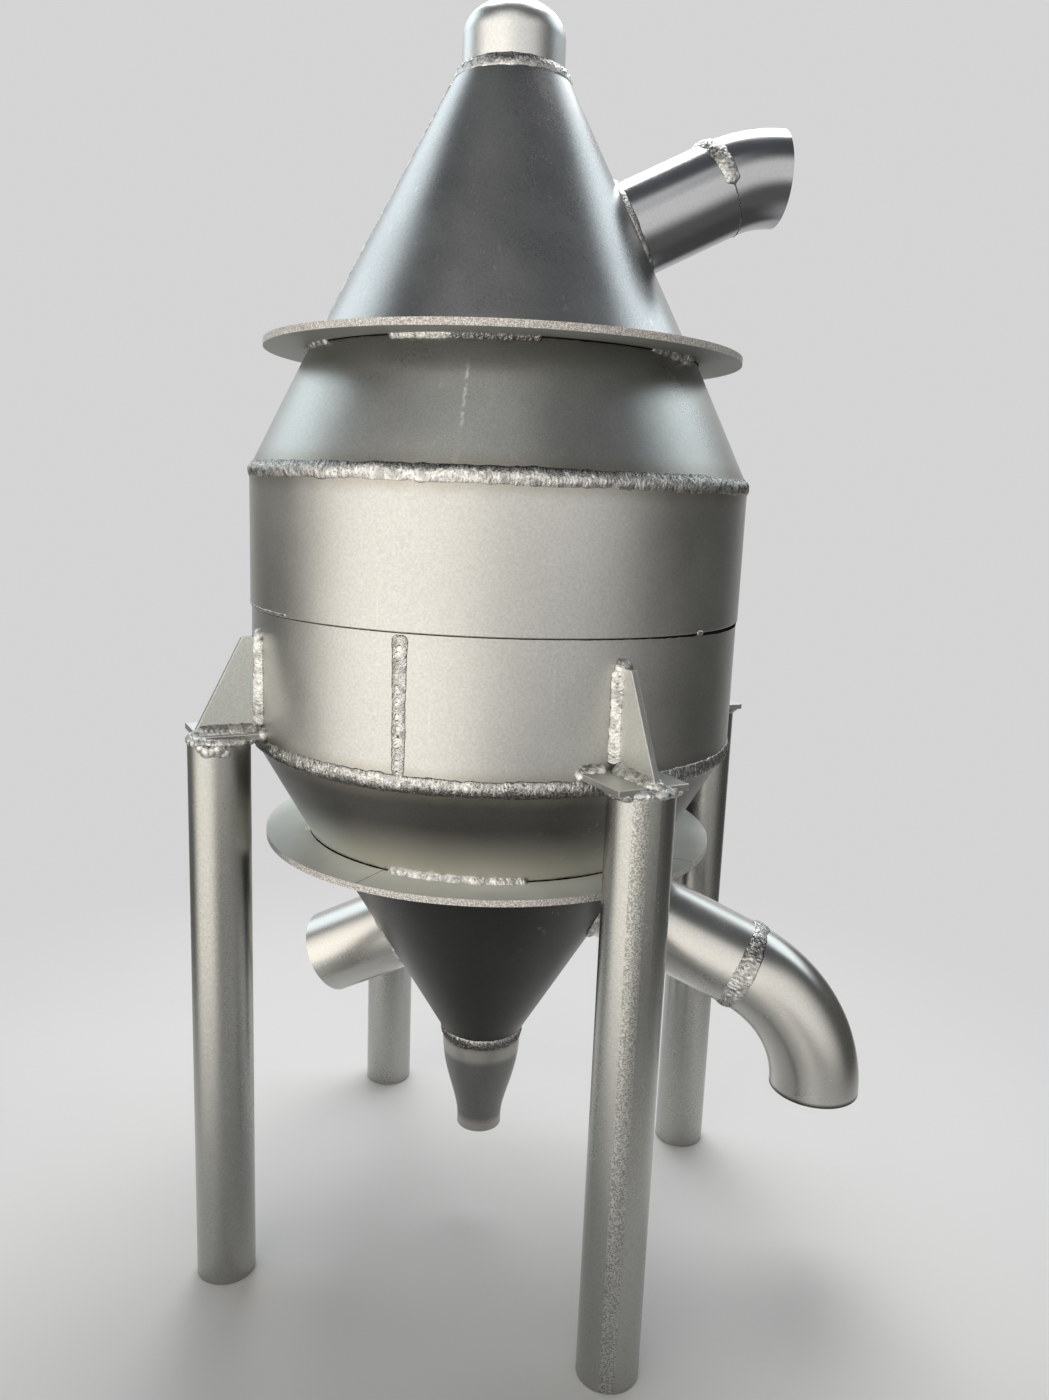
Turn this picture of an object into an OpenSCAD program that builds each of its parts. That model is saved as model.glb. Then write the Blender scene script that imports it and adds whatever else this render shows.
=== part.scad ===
// Cyclone separator: a welded sheet vessel on four tube legs.
// Millimetres, +Z up. The origin lies on the vessel axis, on the floor under the legs.
// +X points away from the side stub, midway between two legs.

/* [Shell] */
// Outer radius of the lower shell course
lower_shell_r = 255; // [230:0.1:280]
// Step of the upper shell course out over the lower one
shell_step = 1.4; // [0:0.1:1.5]
// Height of the upper shell course
upper_shell_h = 135.6; // [90:0.1:200]
// Height of the lower shell course
lower_shell_h = 135.2; // [110:0.1:200]
// Sheet thickness of the shell courses and the cones
sheet_t = 3; // [2:0.1:5]
// Edge break at the open seam between the two courses
seam_chamfer = 0.9; // [0.2:0.1:1.5]

/* [Shoulder and upper cone] */
// Height of the shoulder cone
shoulder_h = 118.3; // [80:0.1:160]
// Outer radius at the foot of the upper cone
upper_cone_r = 192.6; // [165:0.1:210]
// Step of the shoulder cone's top out over the upper cone's foot
shoulder_step = 5.4; // [0:0.1:12]
// Height of the upper cone
upper_cone_h = 263.1; // [225:0.1:310]

/* [Hopper and lower cone] */
// Height of the hopper cone under the shell
hopper_h = 104.7; // [80:0.1:150]
// Outer radius at the top of the lower cone
lower_cone_r = 185.4; // [165:0.1:205]
// Step of the hopper cone's foot out over the lower cone's top
hopper_step = 10.6; // [0:0.1:16]
// Height of the lower cone
lower_cone_h = 240; // [210:1:280]

/* [Flange rings] */
// Outer radius of the upper flange ring
top_flange_r = 242.5; // [225:0.5:260]
// Outer radius of the lower flange ring
bottom_flange_r = 242; // [225:0.5:260]
// Thickness of both flange rings
flange_t = 6.5; // [4:0.5:10]
// Gap at the radial joints of the lower flange ring
flange_joint_gap = 0.3; // [0.1:0.1:1]
// Turn of the first radial joint about the axis
flange_joint_az = 78.4; // [60:0.1:95]

/* [Top cap] */
// Outer radius of the top cap
cap_r = 50.8; // [40:0.1:60]
// Wall of the top cap
cap_t = 3; // [2:0.1:5]
// Depth to which the cap sits in the mouth of the upper cone
cap_seat = 3; // [1:0.5:8]
// Height of the cap's straight wall over the cone's mouth
cap_straight_h = 32.1; // [20:0.1:60]
// Height of the domed end
cap_dome_h = 36.5; // [31:0.5:45]
// Radius of the knuckle between the wall and the dome
cap_knuckle_r = 27.4; // [15:0.1:29]

/* [Bottom reducer] */
// Height of the outlet above the floor
outlet_z = 96; // [60:1:140]
// Outer radius of the reducer at the cone
reducer_r = 44.5; // [35:0.1:52]
// Outer radius of the outlet end
outlet_r = 25.4; // [18:0.1:32]
// Wall of the reducer
reducer_t = 2.8; // [2:0.1:4]
// Length of the straight outlet end
outlet_len = 19; // [10:0.5:30]
// Length of the tapered part
taper_len = 90; // [70:1:120]
// Length of the straight end at the cone
neck_len = 13; // [8:0.5:20]

/* [Branch pipes] */
// Outer radius of the upper pipe, the lower pipe and the side stub
pipe_r = 47.6; // [42:0.1:52]
// Wall of the pipes and elbows
pipe_t = 3; // [2:0.1:4]
// Centre-line radius of the elbows
bend_r = 142.5; // [110:0.5:170]
// Direction of the upper pipe about the axis
upper_pipe_az = 26.5; // [15:0.1:40]
// Rise of the upper pipe
upper_pipe_rise = 27.3; // [20:0.1:35]
// Height over the upper cone's foot at which the upper pipe's line meets the axis
upper_pipe_lift = 63.35; // [45:0.05:80]
// Distance along the upper pipe from the vessel axis to its elbow
upper_pipe_run = 244.2; // [225:0.1:270]
// Turn of the upper elbow
upper_bend_angle = 26.2; // [15:0.1:45]
// Direction of the lower pipe about the axis
lower_pipe_az = 5.6; // [-5:0.1:10]
// Fall of the lower pipe
lower_pipe_fall = 22.9; // [18:0.1:30]
// Depth under the lower cone's top at which the lower pipe's line meets the axis
lower_pipe_drop = 5.7; // [0:0.1:18]
// Distance along the lower pipe from the vessel axis to its elbow
lower_pipe_run = 313.1; // [290:0.1:340]
// Direction of the side stub about the axis
stub_az = 180; // [170:0.5:190]
// Fall of the side stub
stub_fall = 28.2; // [22:0.1:34]
// Depth under the lower cone's top at which the stub's line meets the axis
stub_drop = 77.4; // [63:0.1:93]
// Distance along the stub from the vessel axis to its mouth
stub_run = 219.8; // [200:0.1:250]

/* [Legs and brackets] */
// Outer radius of a leg tube
leg_r = 30.15; // [24:0.05:36]
// Wall of a leg tube
leg_t = 2.9; // [2:0.1:4]
// Space between the shell and a leg tube
leg_space = 10.45; // [8:0.05:20]
// Direction of the first leg about the axis
leg_az = 45; // [35:1:55]
// Height of a leg pad over the foot of the lower shell
pad_lift = 10.8; // [9:0.1:30]
// Thickness of a leg pad
pad_t = 6; // [4:0.5:8]
// Width of a leg pad
pad_w = 72; // [64:1:90]
// Reach of a leg pad out from the shell
pad_reach = 62.5; // [56:0.5:80]
// Shift of each leg pad along the shell
pad_shifts = [0, 0, -18, -2]; // [-20:1:20]
// Height of a gusset plate
gusset_h = 93; // [70:1:105]
// Thickness of a gusset plate
gusset_t = 6; // [4:0.5:8]
// Width of a gusset plate at its top
gusset_top_w = 18; // [10:0.5:30]
// Width of a gusset plate at its foot
gusset_foot_w = 65; // [50:0.5:70]

/* [Welds] */
// Clearance between curved faces that are welded together
fit_gap = 0.2; // [0.1:0.05:0.3]
// Leg length of the fillet welds at the branch pipes and under the pads
fillet_leg = 5; // [3:0.5:7]
// Leg length of the fillet welds on the gussets and the pads
bracket_leg = 9; // [5:0.5:10]
// Crown of those welds over the line between their toes
bracket_crown = 1.5; // [0.5:0.1:3]
// Height of the weld that closes a leg tube beside its pad
plug_h = 5; // [2:0.5:5.5]
// Leg length of the stitch welds at the flange rings
stitch_leg = 7; // [4:0.5:9]
// Width of the long seam welds on the shell
seam_w = 12; // [8:0.5:16]
// Width of the long seam weld on the upper cone
cone_seam_w = 6; // [4:0.5:10]
// Height of a seam weld over the sheet
seam_crown = 2; // [1:0.1:3]
// Width of the ring welds at the shoulder and the belly
ring_w = 13; // [9:0.5:16]
// Crown of the ring welds
ring_crown = 2.2; // [1:0.1:3]
// Height to which the weld at the top cap reaches on the cap, over the cone's mouth
cap_weld_over = 5.1; // [3:0.1:9]
// Depth to which it reaches on the cone, under the mouth
cap_weld_under = 9.4; // [5:0.1:12]
// Crown of that weld over the line between its toes
cap_weld_crown = 2.2; // [1.5:0.1:4]
// Width of the weld at the bottom reducer
reducer_weld_w = 12; // [8:0.5:16]
// Crown of the weld at the bottom reducer
reducer_weld_crown = 3.2; // [2:0.1:4]
// Width of the tacks on the open seam
tack_w = 7; // [4:0.5:10]
// Crown of the tacks on the open seam
tack_crown = 1.6; // [1:0.1:2.5]
// Width of the beads at the elbow joints
joint_w = 11; // [7:0.5:14]
// Crown of the beads at the elbow joints
joint_crown = 2.4; // [1:0.1:3]
// Direction of the long weld on the lower shell
lower_seam_az = 270; // [255:1:285]
// Direction of the long weld on the upper shell
upper_seam_az = 98; // [60:1:120]
// Direction of the long weld on the upper cone
cone_seam_az = 206; // [190:1:220]

/* [Hidden] */
$fn = 120;
// Facets of the round cuts that thin beads are fitted to.
fine = 480;
big = 2000;
// Run-on of a cone's filling past its wide and narrow ends, where a branch is cut to it.
run_on = 1.5 * pipe_r;
tip_run_on = 5;
// Depth to which a plate's blank reaches inside the shell before it is cut to it.
bite = 10;
// Ends of the upper cone's sheet that its long weld leaves free, at the foot and the top.
cone_seam_foot = 6;
cone_seam_head = 14;

upper_shell_r = lower_shell_r + shell_step;
shoulder_top_r = upper_cone_r + shoulder_step;
hopper_foot_r = lower_cone_r + hopper_step;

// Level widths of the two cones' sheets, and the mouth in which the cap sits.
upper_cone_w = level_w(sheet_t, upper_cone_r - cap_r, upper_cone_h);
lower_cone_w = level_w(sheet_t, lower_cone_r - reducer_r, lower_cone_h);
mouth_r = cap_r + fit_gap + upper_cone_w;

// Heights of the joints, from the outlet up.
taper_z0 = outlet_z + outlet_len;
taper_z1 = taper_z0 + taper_len;
cone_z0 = taper_z1 + neck_len;
cone_z1 = cone_z0 + lower_cone_h;
hopper_z0 = cone_z1 + flange_t;
belly_z = hopper_z0 + hopper_h;
seam_z = belly_z + lower_shell_h;
shoulder_z0 = seam_z + upper_shell_h;
shoulder_z1 = shoulder_z0 + shoulder_h;
cone2_z0 = shoulder_z1 + flange_t;
cone2_z1 = cone2_z0 + upper_cone_h;
dome_z = cone2_z1 + cap_straight_h;
upper_pipe_z = cone2_z0 + upper_pipe_lift;
lower_pipe_z = cone_z1 - lower_pipe_drop;
stub_z = cone_z1 - stub_drop;
leg_circle_r = lower_shell_r + leg_space + leg_r;
pad_z = belly_z + pad_lift;
pad_top = pad_z + pad_t;

leg_dirs = [for (i = [0:3]) leg_az + 90 * i];
// Starts and spans of the stitch welds, and directions of the tacks on the open seam.
top_stitches = [[258, 40], [331, 20], [27, 30], [87, 30], [147, 30], [203, 30]];
bottom_stitches = [[260, 40], [211, 4], [343, 8], [57, 30], [147, 30]];
seam_tacks_az = [335.6, 60, 150];

// Width of a wall measured level, for a wall that leans dr over dz.
function level_w(w, dr, dz) = w * sqrt(1 + pow(dr / dz, 2));
// Radius on the straight line from (r0, z0) to (r1, z1) at height z.
function on_line(z, r0, z0, r1, z1) = r0 + (r1 - r0) * (z - z0) / (z1 - z0);

module frustum_shell(r0, z0, r1, z1, t) {
    w = level_w(t, r1 - r0, z1 - z0);
    rotate_extrude()
        polygon([[r0 - w, z0], [r0, z0], [r1, z1], [r1 - w, z1]]);
}

// Solid filling of a cone, grown by g, and run on under its foot and over its top.
module frustum_fill(r0, z0, r1, z1, g, under, over) {
    w = level_w(g, r1 - r0, z1 - z0);
    rotate_extrude()
        polygon([[0, z0 - under], [on_line(z0 - under, r0, z0, r1, z1) + w, z0 - under],
                 [on_line(z1 + over, r0, z0, r1, z1) + w, z1 + over], [0, z1 + over]]);
}

// Lens-shaped bead: the part of a circle that stands crown over a surface through (r, z).
module bead_circle(r, z, w, crown) {
    rad = (w * w / 4 + crown * crown) / (2 * crown);
    translate([r + crown - rad, z]) circle(r = rad);
}

// Circle through two toes [r, z], the lower one first, that stands crown over their line.
module toe_circle(low, high, crown) {
    way = high - low;
    half = norm(way) / 2;
    rad = (half * half + crown * crown) / (2 * crown);
    translate((low + high) / 2 + [way[1], -way[0]] / norm(way) * (crown - rad))
        circle(r = rad);
}

// Section of a fillet weld in a square corner, with its walls along +X and +Y, run on by
// back behind the wall along +Y.
module fillet_section(leg, crown, back) {
    intersection() {
        toe_circle([leg, 0], [0, leg], crown);
        translate([-back, 0]) square([leg + back, leg * 1.2]);
    }
}

// Ring bead over the corner between a lower wall and an upper wall.
module corner_bead(r, z, w, crown, r_low, z_low, r_high, z_high) {
    g0 = level_w(fit_gap, r - r_low, z - z_low);
    g1 = level_w(fit_gap, r_high - r, z_high - z);
    rotate_extrude()
        difference() {
            bead_circle(r, z, w, crown);
            polygon([[-big, z_low], [r_low + g0, z_low], [r + g0, z], [r + g1, z],
                     [r_high + g1, z_high], [-big, z_high]]);
        }
}

// Frame of a branch: local +Z runs out along the pipe from the vessel axis.
module branch(az, el, z) {
    rotate([0, 0, az]) translate([0, 0, z]) rotate([0, 90 - el, 0]) children();
}

module bend(angle) {
    translate([bend_r, 0, 0]) rotate([90, 0, 0]) rotate([0, 0, 180 - angle])
        rotate_extrude(angle = angle) translate([bend_r, 0])
            difference() {
                circle(r = pipe_r);
                circle(r = pipe_r - pipe_t);
            }
}

module branch_bore(az, el, z) {
    branch(az, el, z) cylinder(r = pipe_r - pipe_t, h = big / 4);
}

module upper_cone_fill(g) {
    frustum_fill(upper_cone_r, cone2_z0, mouth_r, cone2_z1, g, run_on, tip_run_on);
}

module lower_cone_fill(g) {
    frustum_fill(reducer_r, cone_z0, lower_cone_r, cone_z1, g, tip_run_on, run_on);
}

module straight_pipe(az, el, z, run) {
    branch(az, el, z)
        difference() {
            cylinder(r = pipe_r, h = run);
            translate([0, 0, -1]) cylinder(r = pipe_r - pipe_t, h = run + 2);
        }
}

// Fillet round the foot of a pipe: a flared sleeve that follows the vessel's surface.
module saddle_weld(az, el, z, run) {
    branch(az, el, z)
        difference() {
            cylinder(r = pipe_r + fit_gap + fillet_leg, h = run);
            translate([0, 0, -1]) cylinder(r = pipe_r + fit_gap, h = run + 2);
        }
}

// Bead at an elbow joint. Its width is small against bend_r, so its bore is straight.
module joint_bead(run) {
    translate([0, 0, run])
        rotate_extrude()
            difference() {
                bead_circle(pipe_r, 0, joint_w, joint_crown);
                translate([-big, -joint_w]) square([big + pipe_r + fit_gap, 2 * joint_w]);
            }
}

module at_leg(i) {
    rotate([0, 0, leg_dirs[i]]) children();
}

module leg(i) {
    at_leg(i) translate([leg_circle_r, 0, 0])
        difference() {
            cylinder(r = leg_r, h = pad_z);
            translate([0, 0, -1]) cylinder(r = leg_r - leg_t, h = pad_z + 2);
        }
}

// Block over the outline of a leg pad, from z up by h.
module pad_block(i, z, h) {
    translate([lower_shell_r - bite, pad_shifts[i] - pad_w / 2, z])
        cube([pad_reach + bite, pad_w, h]);
}

module leg_pad(i) {
    at_leg(i)
        difference() {
            pad_block(i, pad_z, pad_t);
            translate([0, 0, pad_z - 1]) cylinder(r = lower_shell_r + fit_gap, h = pad_t + 2);
        }
}

module gusset(i) {
    at_leg(i)
        difference() {
            translate([0, gusset_t / 2, 0]) rotate([90, 0, 0]) linear_extrude(gusset_t)
                polygon([[lower_shell_r - bite, pad_top],
                         [lower_shell_r + gusset_foot_w, pad_top],
                         [lower_shell_r + gusset_top_w, pad_top + gusset_h],
                         [lower_shell_r - bite, pad_top + gusset_h]]);
            translate([0, 0, pad_top - 1])
                cylinder(r = lower_shell_r + fit_gap, h = gusset_h + 2);
        }
}

module top_cap() {
    color("silver")
        rotate_extrude()
            difference() {
                cap_section(cap_r, cap_dome_h, cap_knuckle_r, cone2_z1 - cap_seat);
                cap_section(cap_r - cap_t, cap_dome_h - cap_t, cap_knuckle_r - cap_t,
                            cone2_z1 - cap_seat - 1);
            }
}

// Half section of the cap's outline: a straight wall up from z0 and a domed end of two
// arcs, a knuckle at the wall and a flatter crown. The crown is a little rounder than
// the arc that touches the knuckle, so the two arcs cross cleanly.
module cap_section(r, h, knuckle, z0) {
    touching = (pow(r - knuckle, 2) + pow(h, 2) - pow(knuckle, 2)) / (2 * (h - knuckle));
    a = atan2(r - knuckle, touching - h);
    crown = touching * 0.99;
    translate([0, z0]) square([r, dome_z - z0]);
    translate([0, dome_z])
        intersection() {
            union() {
                translate([r - knuckle, 0]) circle(r = knuckle);
                intersection() {
                    translate([0, h - crown]) circle(r = crown);
                    polygon([[0, 0], [r - knuckle, 0],
                             [r - knuckle + 2 * r * sin(a), 2 * r * cos(a)], [0, 2 * r]]);
                }
            }
            square([r + 1, h + 1]);
        }
}

module cap_weld() {
    low_z = cone2_z1 - cap_weld_under;
    g = level_w(fit_gap, upper_cone_r - mouth_r, upper_cone_h);
    color("gainsboro")
        rotate_extrude()
            difference() {
                toe_circle([on_line(low_z, upper_cone_r, cone2_z0, mouth_r, cone2_z1), low_z],
                           [cap_r, cone2_z1 + cap_weld_over], cap_weld_crown);
                polygon([[-big, cone2_z0], [upper_cone_r + g, cone2_z0],
                         [mouth_r + g, cone2_z1], [mouth_r + g, cone2_z1 + fit_gap],
                         [cap_r + fit_gap, cone2_z1 + fit_gap],
                         [cap_r + fit_gap, cone2_z1 + big], [-big, cone2_z1 + big]]);
            }
}

module upper_cone() {
    color("slategray")
        difference() {
            frustum_shell(upper_cone_r, cone2_z0, mouth_r, cone2_z1, sheet_t);
            branch_bore(upper_pipe_az, upper_pipe_rise, upper_pipe_z);
        }
}

module upper_cone_seam_weld() {
    lean = atan2(upper_cone_r - mouth_r, upper_cone_h);
    rad = (cone_seam_w * cone_seam_w / 4 + seam_crown * seam_crown) / (2 * seam_crown);
    color("gainsboro")
        difference() {
            rotate([0, 0, cone_seam_az]) translate([upper_cone_r, 0, cone2_z0])
                rotate([0, -lean, 0]) translate([seam_crown - rad, 0, cone_seam_foot])
                    cylinder(r = rad,
                             h = upper_cone_h / cos(lean) - cone_seam_foot - cone_seam_head);
            upper_cone_fill(fit_gap, $fn = fine);
        }
}

module flange_ring(r, bore, z) {
    difference() {
        translate([0, 0, z]) cylinder(r = r, h = flange_t);
        translate([0, 0, z - 1]) cylinder(r = bore, h = flange_t + 2);
    }
}

module top_flange_ring() {
    color("lightgray")
        flange_ring(top_flange_r, upper_cone_r - upper_cone_w, shoulder_z1);
}

module top_flange_stitch_welds() {
    color("gainsboro")
        for (s = top_stitches)
            rotate([0, 0, s[0]]) rotate_extrude(angle = s[1])
                stitch_profile(shoulder_top_r, shoulder_z1, upper_shell_r, shoulder_z0, -1);
}

// Section of a fillet in the corner of a cone wall and a level face, on side dir of it.
module stitch_profile(r, z, r_far, z_far, dir) {
    g = level_w(fit_gap, r_far - r, z_far - z);
    intersection() {
        difference() {
            translate([r + g, z]) circle(r = stitch_leg);
            polygon([[0, z], [r + g, z], [r_far + g, z_far], [0, z_far]]);
        }
        translate([r - stitch_leg, dir > 0 ? z : z - 2 * stitch_leg])
            square([stitch_leg * 3, stitch_leg * 2]);
    }
}

module shoulder_cone() {
    color("slategray")
        frustum_shell(upper_shell_r, shoulder_z0, shoulder_top_r, shoulder_z1, sheet_t);
}

module shoulder_weld() {
    color("gainsboro")
        corner_bead(upper_shell_r, shoulder_z0, ring_w, ring_crown,
                    upper_shell_r, shoulder_z0 - ring_w,
                    on_line(shoulder_z0 + ring_w, upper_shell_r, shoulder_z0,
                            shoulder_top_r, shoulder_z1), shoulder_z0 + ring_w);
}

module upper_shell() {
    color("silver")
        rotate_extrude()
            polygon([[upper_shell_r - sheet_t, seam_z],
                     [upper_shell_r - seam_chamfer, seam_z],
                     [upper_shell_r, seam_z + seam_chamfer],
                     [upper_shell_r, shoulder_z0], [upper_shell_r - sheet_t, shoulder_z0]]);
}

module long_seam(r, z0, z1, az) {
    rad = (seam_w * seam_w / 4 + seam_crown * seam_crown) / (2 * seam_crown);
    difference() {
        rotate([0, 0, az]) translate([r + seam_crown - rad, 0, z0])
            cylinder(r = rad, h = z1 - z0);
        translate([0, 0, z0 - 1]) cylinder(r = r + fit_gap, h = z1 - z0 + 2, $fn = fine);
    }
}

module upper_shell_seam_weld() {
    color("gainsboro")
        long_seam(upper_shell_r, seam_z + 3, shoulder_z0 - ring_w / 2 - 1, upper_seam_az);
}

module seam_tacks() {
    color("gainsboro")
        for (a = seam_tacks_az)
            rotate([0, 0, a])
                rotate_extrude(angle = 2)
                    difference() {
                        bead_circle(upper_shell_r, seam_z, tack_w, tack_crown);
                        translate([0, seam_z - tack_w])
                            square([upper_shell_r + fit_gap, 2 * tack_w]);
                    }
}

module lower_shell() {
    color("silver")
        rotate_extrude()
            polygon([[lower_shell_r - sheet_t, belly_z], [lower_shell_r, belly_z],
                     [lower_shell_r, seam_z - seam_chamfer],
                     [lower_shell_r - seam_chamfer, seam_z],
                     [lower_shell_r - sheet_t, seam_z]]);
}

module lower_shell_seam_weld() {
    color("gainsboro")
        long_seam(lower_shell_r, belly_z + ring_w / 2 + 1, seam_z - 2, lower_seam_az);
}

module belly_weld() {
    color("gainsboro")
        corner_bead(lower_shell_r, belly_z, ring_w, ring_crown,
                    on_line(belly_z - ring_w, hopper_foot_r, hopper_z0,
                            lower_shell_r, belly_z), belly_z - ring_w,
                    lower_shell_r, belly_z + ring_w);
}

module hopper_cone() {
    color("gray")
        frustum_shell(hopper_foot_r, hopper_z0, lower_shell_r, belly_z, sheet_t);
}

module bottom_flange_ring() {
    color("lightgray")
        difference() {
            flange_ring(bottom_flange_r, lower_cone_r - lower_cone_w, cone_z1);
            for (i = [0:1])
                rotate([0, 0, flange_joint_az + 90 * i])
                    translate([-big / 2, -flange_joint_gap / 2, cone_z1 - 1])
                        cube([big, flange_joint_gap, flange_t + 2]);
        }
}

module bottom_flange_stitch_welds() {
    color("gainsboro")
        for (s = bottom_stitches)
            rotate([0, 0, s[0]]) rotate_extrude(angle = s[1])
                stitch_profile(hopper_foot_r, hopper_z0, lower_shell_r, belly_z, 1);
}

module lower_cone() {
    color("dimgray")
        difference() {
            frustum_shell(reducer_r, cone_z0, lower_cone_r, cone_z1, sheet_t);
            branch_bore(lower_pipe_az, -lower_pipe_fall, lower_pipe_z);
            branch_bore(stub_az, -stub_fall, stub_z);
        }
}

module reducer_weld() {
    color("gainsboro")
        corner_bead(reducer_r, cone_z0, reducer_weld_w, reducer_weld_crown,
                    reducer_r, cone_z0 - reducer_weld_w,
                    on_line(cone_z0 + reducer_weld_w, reducer_r, cone_z0,
                            lower_cone_r, cone_z1), cone_z0 + reducer_weld_w);
}

module bottom_reducer() {
    w = reducer_t;
    color("silver")
        rotate_extrude()
            polygon([[outlet_r - w, outlet_z], [outlet_r, outlet_z], [outlet_r, taper_z0],
                     [reducer_r, taper_z1], [reducer_r, cone_z0], [reducer_r - w, cone_z0],
                     [reducer_r - w, taper_z1], [outlet_r - w, taper_z0]]);
}

module upper_pipe() {
    color("silver")
        difference() {
            straight_pipe(upper_pipe_az, upper_pipe_rise, upper_pipe_z, upper_pipe_run);
            upper_cone_fill(fit_gap);
        }
}

module upper_pipe_weld() {
    color("gainsboro")
        difference() {
            intersection() {
                saddle_weld(upper_pipe_az, upper_pipe_rise, upper_pipe_z, upper_pipe_run);
                upper_cone_fill(fit_gap + fillet_leg);
            }
            upper_cone_fill(fit_gap);
        }
}

module upper_elbow() {
    color("silver")
        branch(upper_pipe_az, upper_pipe_rise, upper_pipe_z) translate([0, 0, upper_pipe_run])
            bend(upper_bend_angle);
}

module upper_elbow_weld() {
    color("gainsboro")
        branch(upper_pipe_az, upper_pipe_rise, upper_pipe_z)
            joint_bead(upper_pipe_run);
}

module lower_pipe() {
    color("silver")
        difference() {
            straight_pipe(lower_pipe_az, -lower_pipe_fall, lower_pipe_z, lower_pipe_run);
            lower_cone_fill(fit_gap);
        }
}

module lower_pipe_weld() {
    color("gainsboro")
        difference() {
            intersection() {
                saddle_weld(lower_pipe_az, -lower_pipe_fall, lower_pipe_z, lower_pipe_run);
                lower_cone_fill(fit_gap + fillet_leg);
            }
            lower_cone_fill(fit_gap);
        }
}

module lower_elbow() {
    color("silver")
        branch(lower_pipe_az, -lower_pipe_fall, lower_pipe_z)
            translate([0, 0, lower_pipe_run])
                bend(90 - lower_pipe_fall);
}

module lower_elbow_weld() {
    color("gainsboro")
        branch(lower_pipe_az, -lower_pipe_fall, lower_pipe_z)
            joint_bead(lower_pipe_run);
}

module side_stub() {
    color("silver")
        difference() {
            straight_pipe(stub_az, -stub_fall, stub_z, stub_run);
            lower_cone_fill(fit_gap);
        }
}

module side_stub_weld() {
    color("gainsboro")
        difference() {
            intersection() {
                saddle_weld(stub_az, -stub_fall, stub_z, stub_run);
                lower_cone_fill(fit_gap + fillet_leg);
            }
            lower_cone_fill(fit_gap);
        }
}

// Fillets on both faces of each gusset: one down the shell to the pad, and one along the
// pad from that one's toe nearly to the gusset's nose.
module gusset_welds() {
    foot_start = bracket_leg + fit_gap;
    color("gainsboro")
        for (i = [0:3])
            at_leg(i)
                for (side = [0, 1])
                    mirror([0, side, 0]) {
                        difference() {
                            translate([lower_shell_r, gusset_t / 2, pad_top])
                                linear_extrude(gusset_h)
                                    fillet_section(bracket_leg, bracket_crown, bite / 2);
                            translate([0, 0, pad_top - 1])
                                cylinder(r = lower_shell_r + fit_gap, h = gusset_h + 2,
                                         $fn = fine);
                        }
                        translate([lower_shell_r + foot_start, gusset_t / 2, pad_top])
                            rotate([90, 0, 90])
                                linear_extrude(gusset_foot_w - 0.6 * bracket_leg - foot_start)
                                    fillet_section(bracket_leg, bracket_crown, 0);
                    }
}

// Fillets between the shell and the top of each pad, on both sides of the gusset's welds.
module leg_pad_welds() {
    clear = gusset_t / 2 + bracket_leg + fit_gap;
    color("gainsboro")
        for (i = [0:3])
            at_leg(i)
                difference() {
                    intersection() {
                        rotate_extrude($fn = fine)
                            translate([lower_shell_r + fit_gap, pad_top])
                                fillet_section(bracket_leg, bracket_crown, 0);
                        pad_block(i, pad_top, 2 * bracket_leg);
                    }
                    translate([0, -clear, pad_top - 1])
                        cube([big, 2 * clear, 2 * bracket_leg + 2]);
                }
}

// Ring fillets between each leg tube and the underside of its pad, and the weld that
// closes the tube's end beside the pad.
module leg_top_welds() {
    color("gainsboro")
        for (i = [0:3])
            at_leg(i) {
                intersection() {
                    translate([leg_circle_r, 0, pad_z])
                        rotate_extrude()
                            difference() {
                                translate([leg_r, 0]) circle(r = fillet_leg);
                                translate([0, -leg_r]) square([leg_r + fit_gap, 2 * leg_r]);
                                square([leg_r * 2, leg_r]);
                            }
                    pad_block(i, pad_z - 2 * fillet_leg, 2 * fillet_leg);
                }
                difference() {
                    translate([leg_circle_r, 0, pad_z])
                        cylinder(r1 = leg_r, r2 = leg_r - plug_h / 2, h = plug_h);
                    pad_block(i, pad_z - 1, pad_t + 2);
                }
            }
}

module leg_1() { color("silver") leg(0); }
module leg_2() { color("silver") leg(1); }
module leg_3() { color("silver") leg(2); }
module leg_4() { color("silver") leg(3); }
module leg_pad_1() { color("lightgray") leg_pad(0); }
module leg_pad_2() { color("lightgray") leg_pad(1); }
module leg_pad_3() { color("lightgray") leg_pad(2); }
module leg_pad_4() { color("lightgray") leg_pad(3); }
module gusset_1() { color("lightgray") gusset(0); }
module gusset_2() { color("lightgray") gusset(1); }
module gusset_3() { color("lightgray") gusset(2); }
module gusset_4() { color("lightgray") gusset(3); }

top_cap();
cap_weld();
upper_cone();
upper_cone_seam_weld();
top_flange_ring();
top_flange_stitch_welds();
shoulder_cone();
shoulder_weld();
upper_shell();
upper_shell_seam_weld();
seam_tacks();
lower_shell();
lower_shell_seam_weld();
belly_weld();
hopper_cone();
bottom_flange_ring();
bottom_flange_stitch_welds();
lower_cone();
reducer_weld();
bottom_reducer();
upper_pipe();
upper_pipe_weld();
upper_elbow();
upper_elbow_weld();
lower_pipe();
lower_pipe_weld();
lower_elbow();
lower_elbow_weld();
side_stub();
side_stub_weld();
leg_1();
leg_2();
leg_3();
leg_4();
leg_pad_1();
leg_pad_2();
leg_pad_3();
leg_pad_4();
gusset_1();
gusset_2();
gusset_3();
gusset_4();
gusset_welds();
leg_pad_welds();
leg_top_welds();
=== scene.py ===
import logging
import math
from collections.abc import Sequence
from dataclasses import dataclass, field, replace
from enum import Enum

import bmesh
import bpy
import numpy as np
from mathutils import Matrix, Vector


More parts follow.
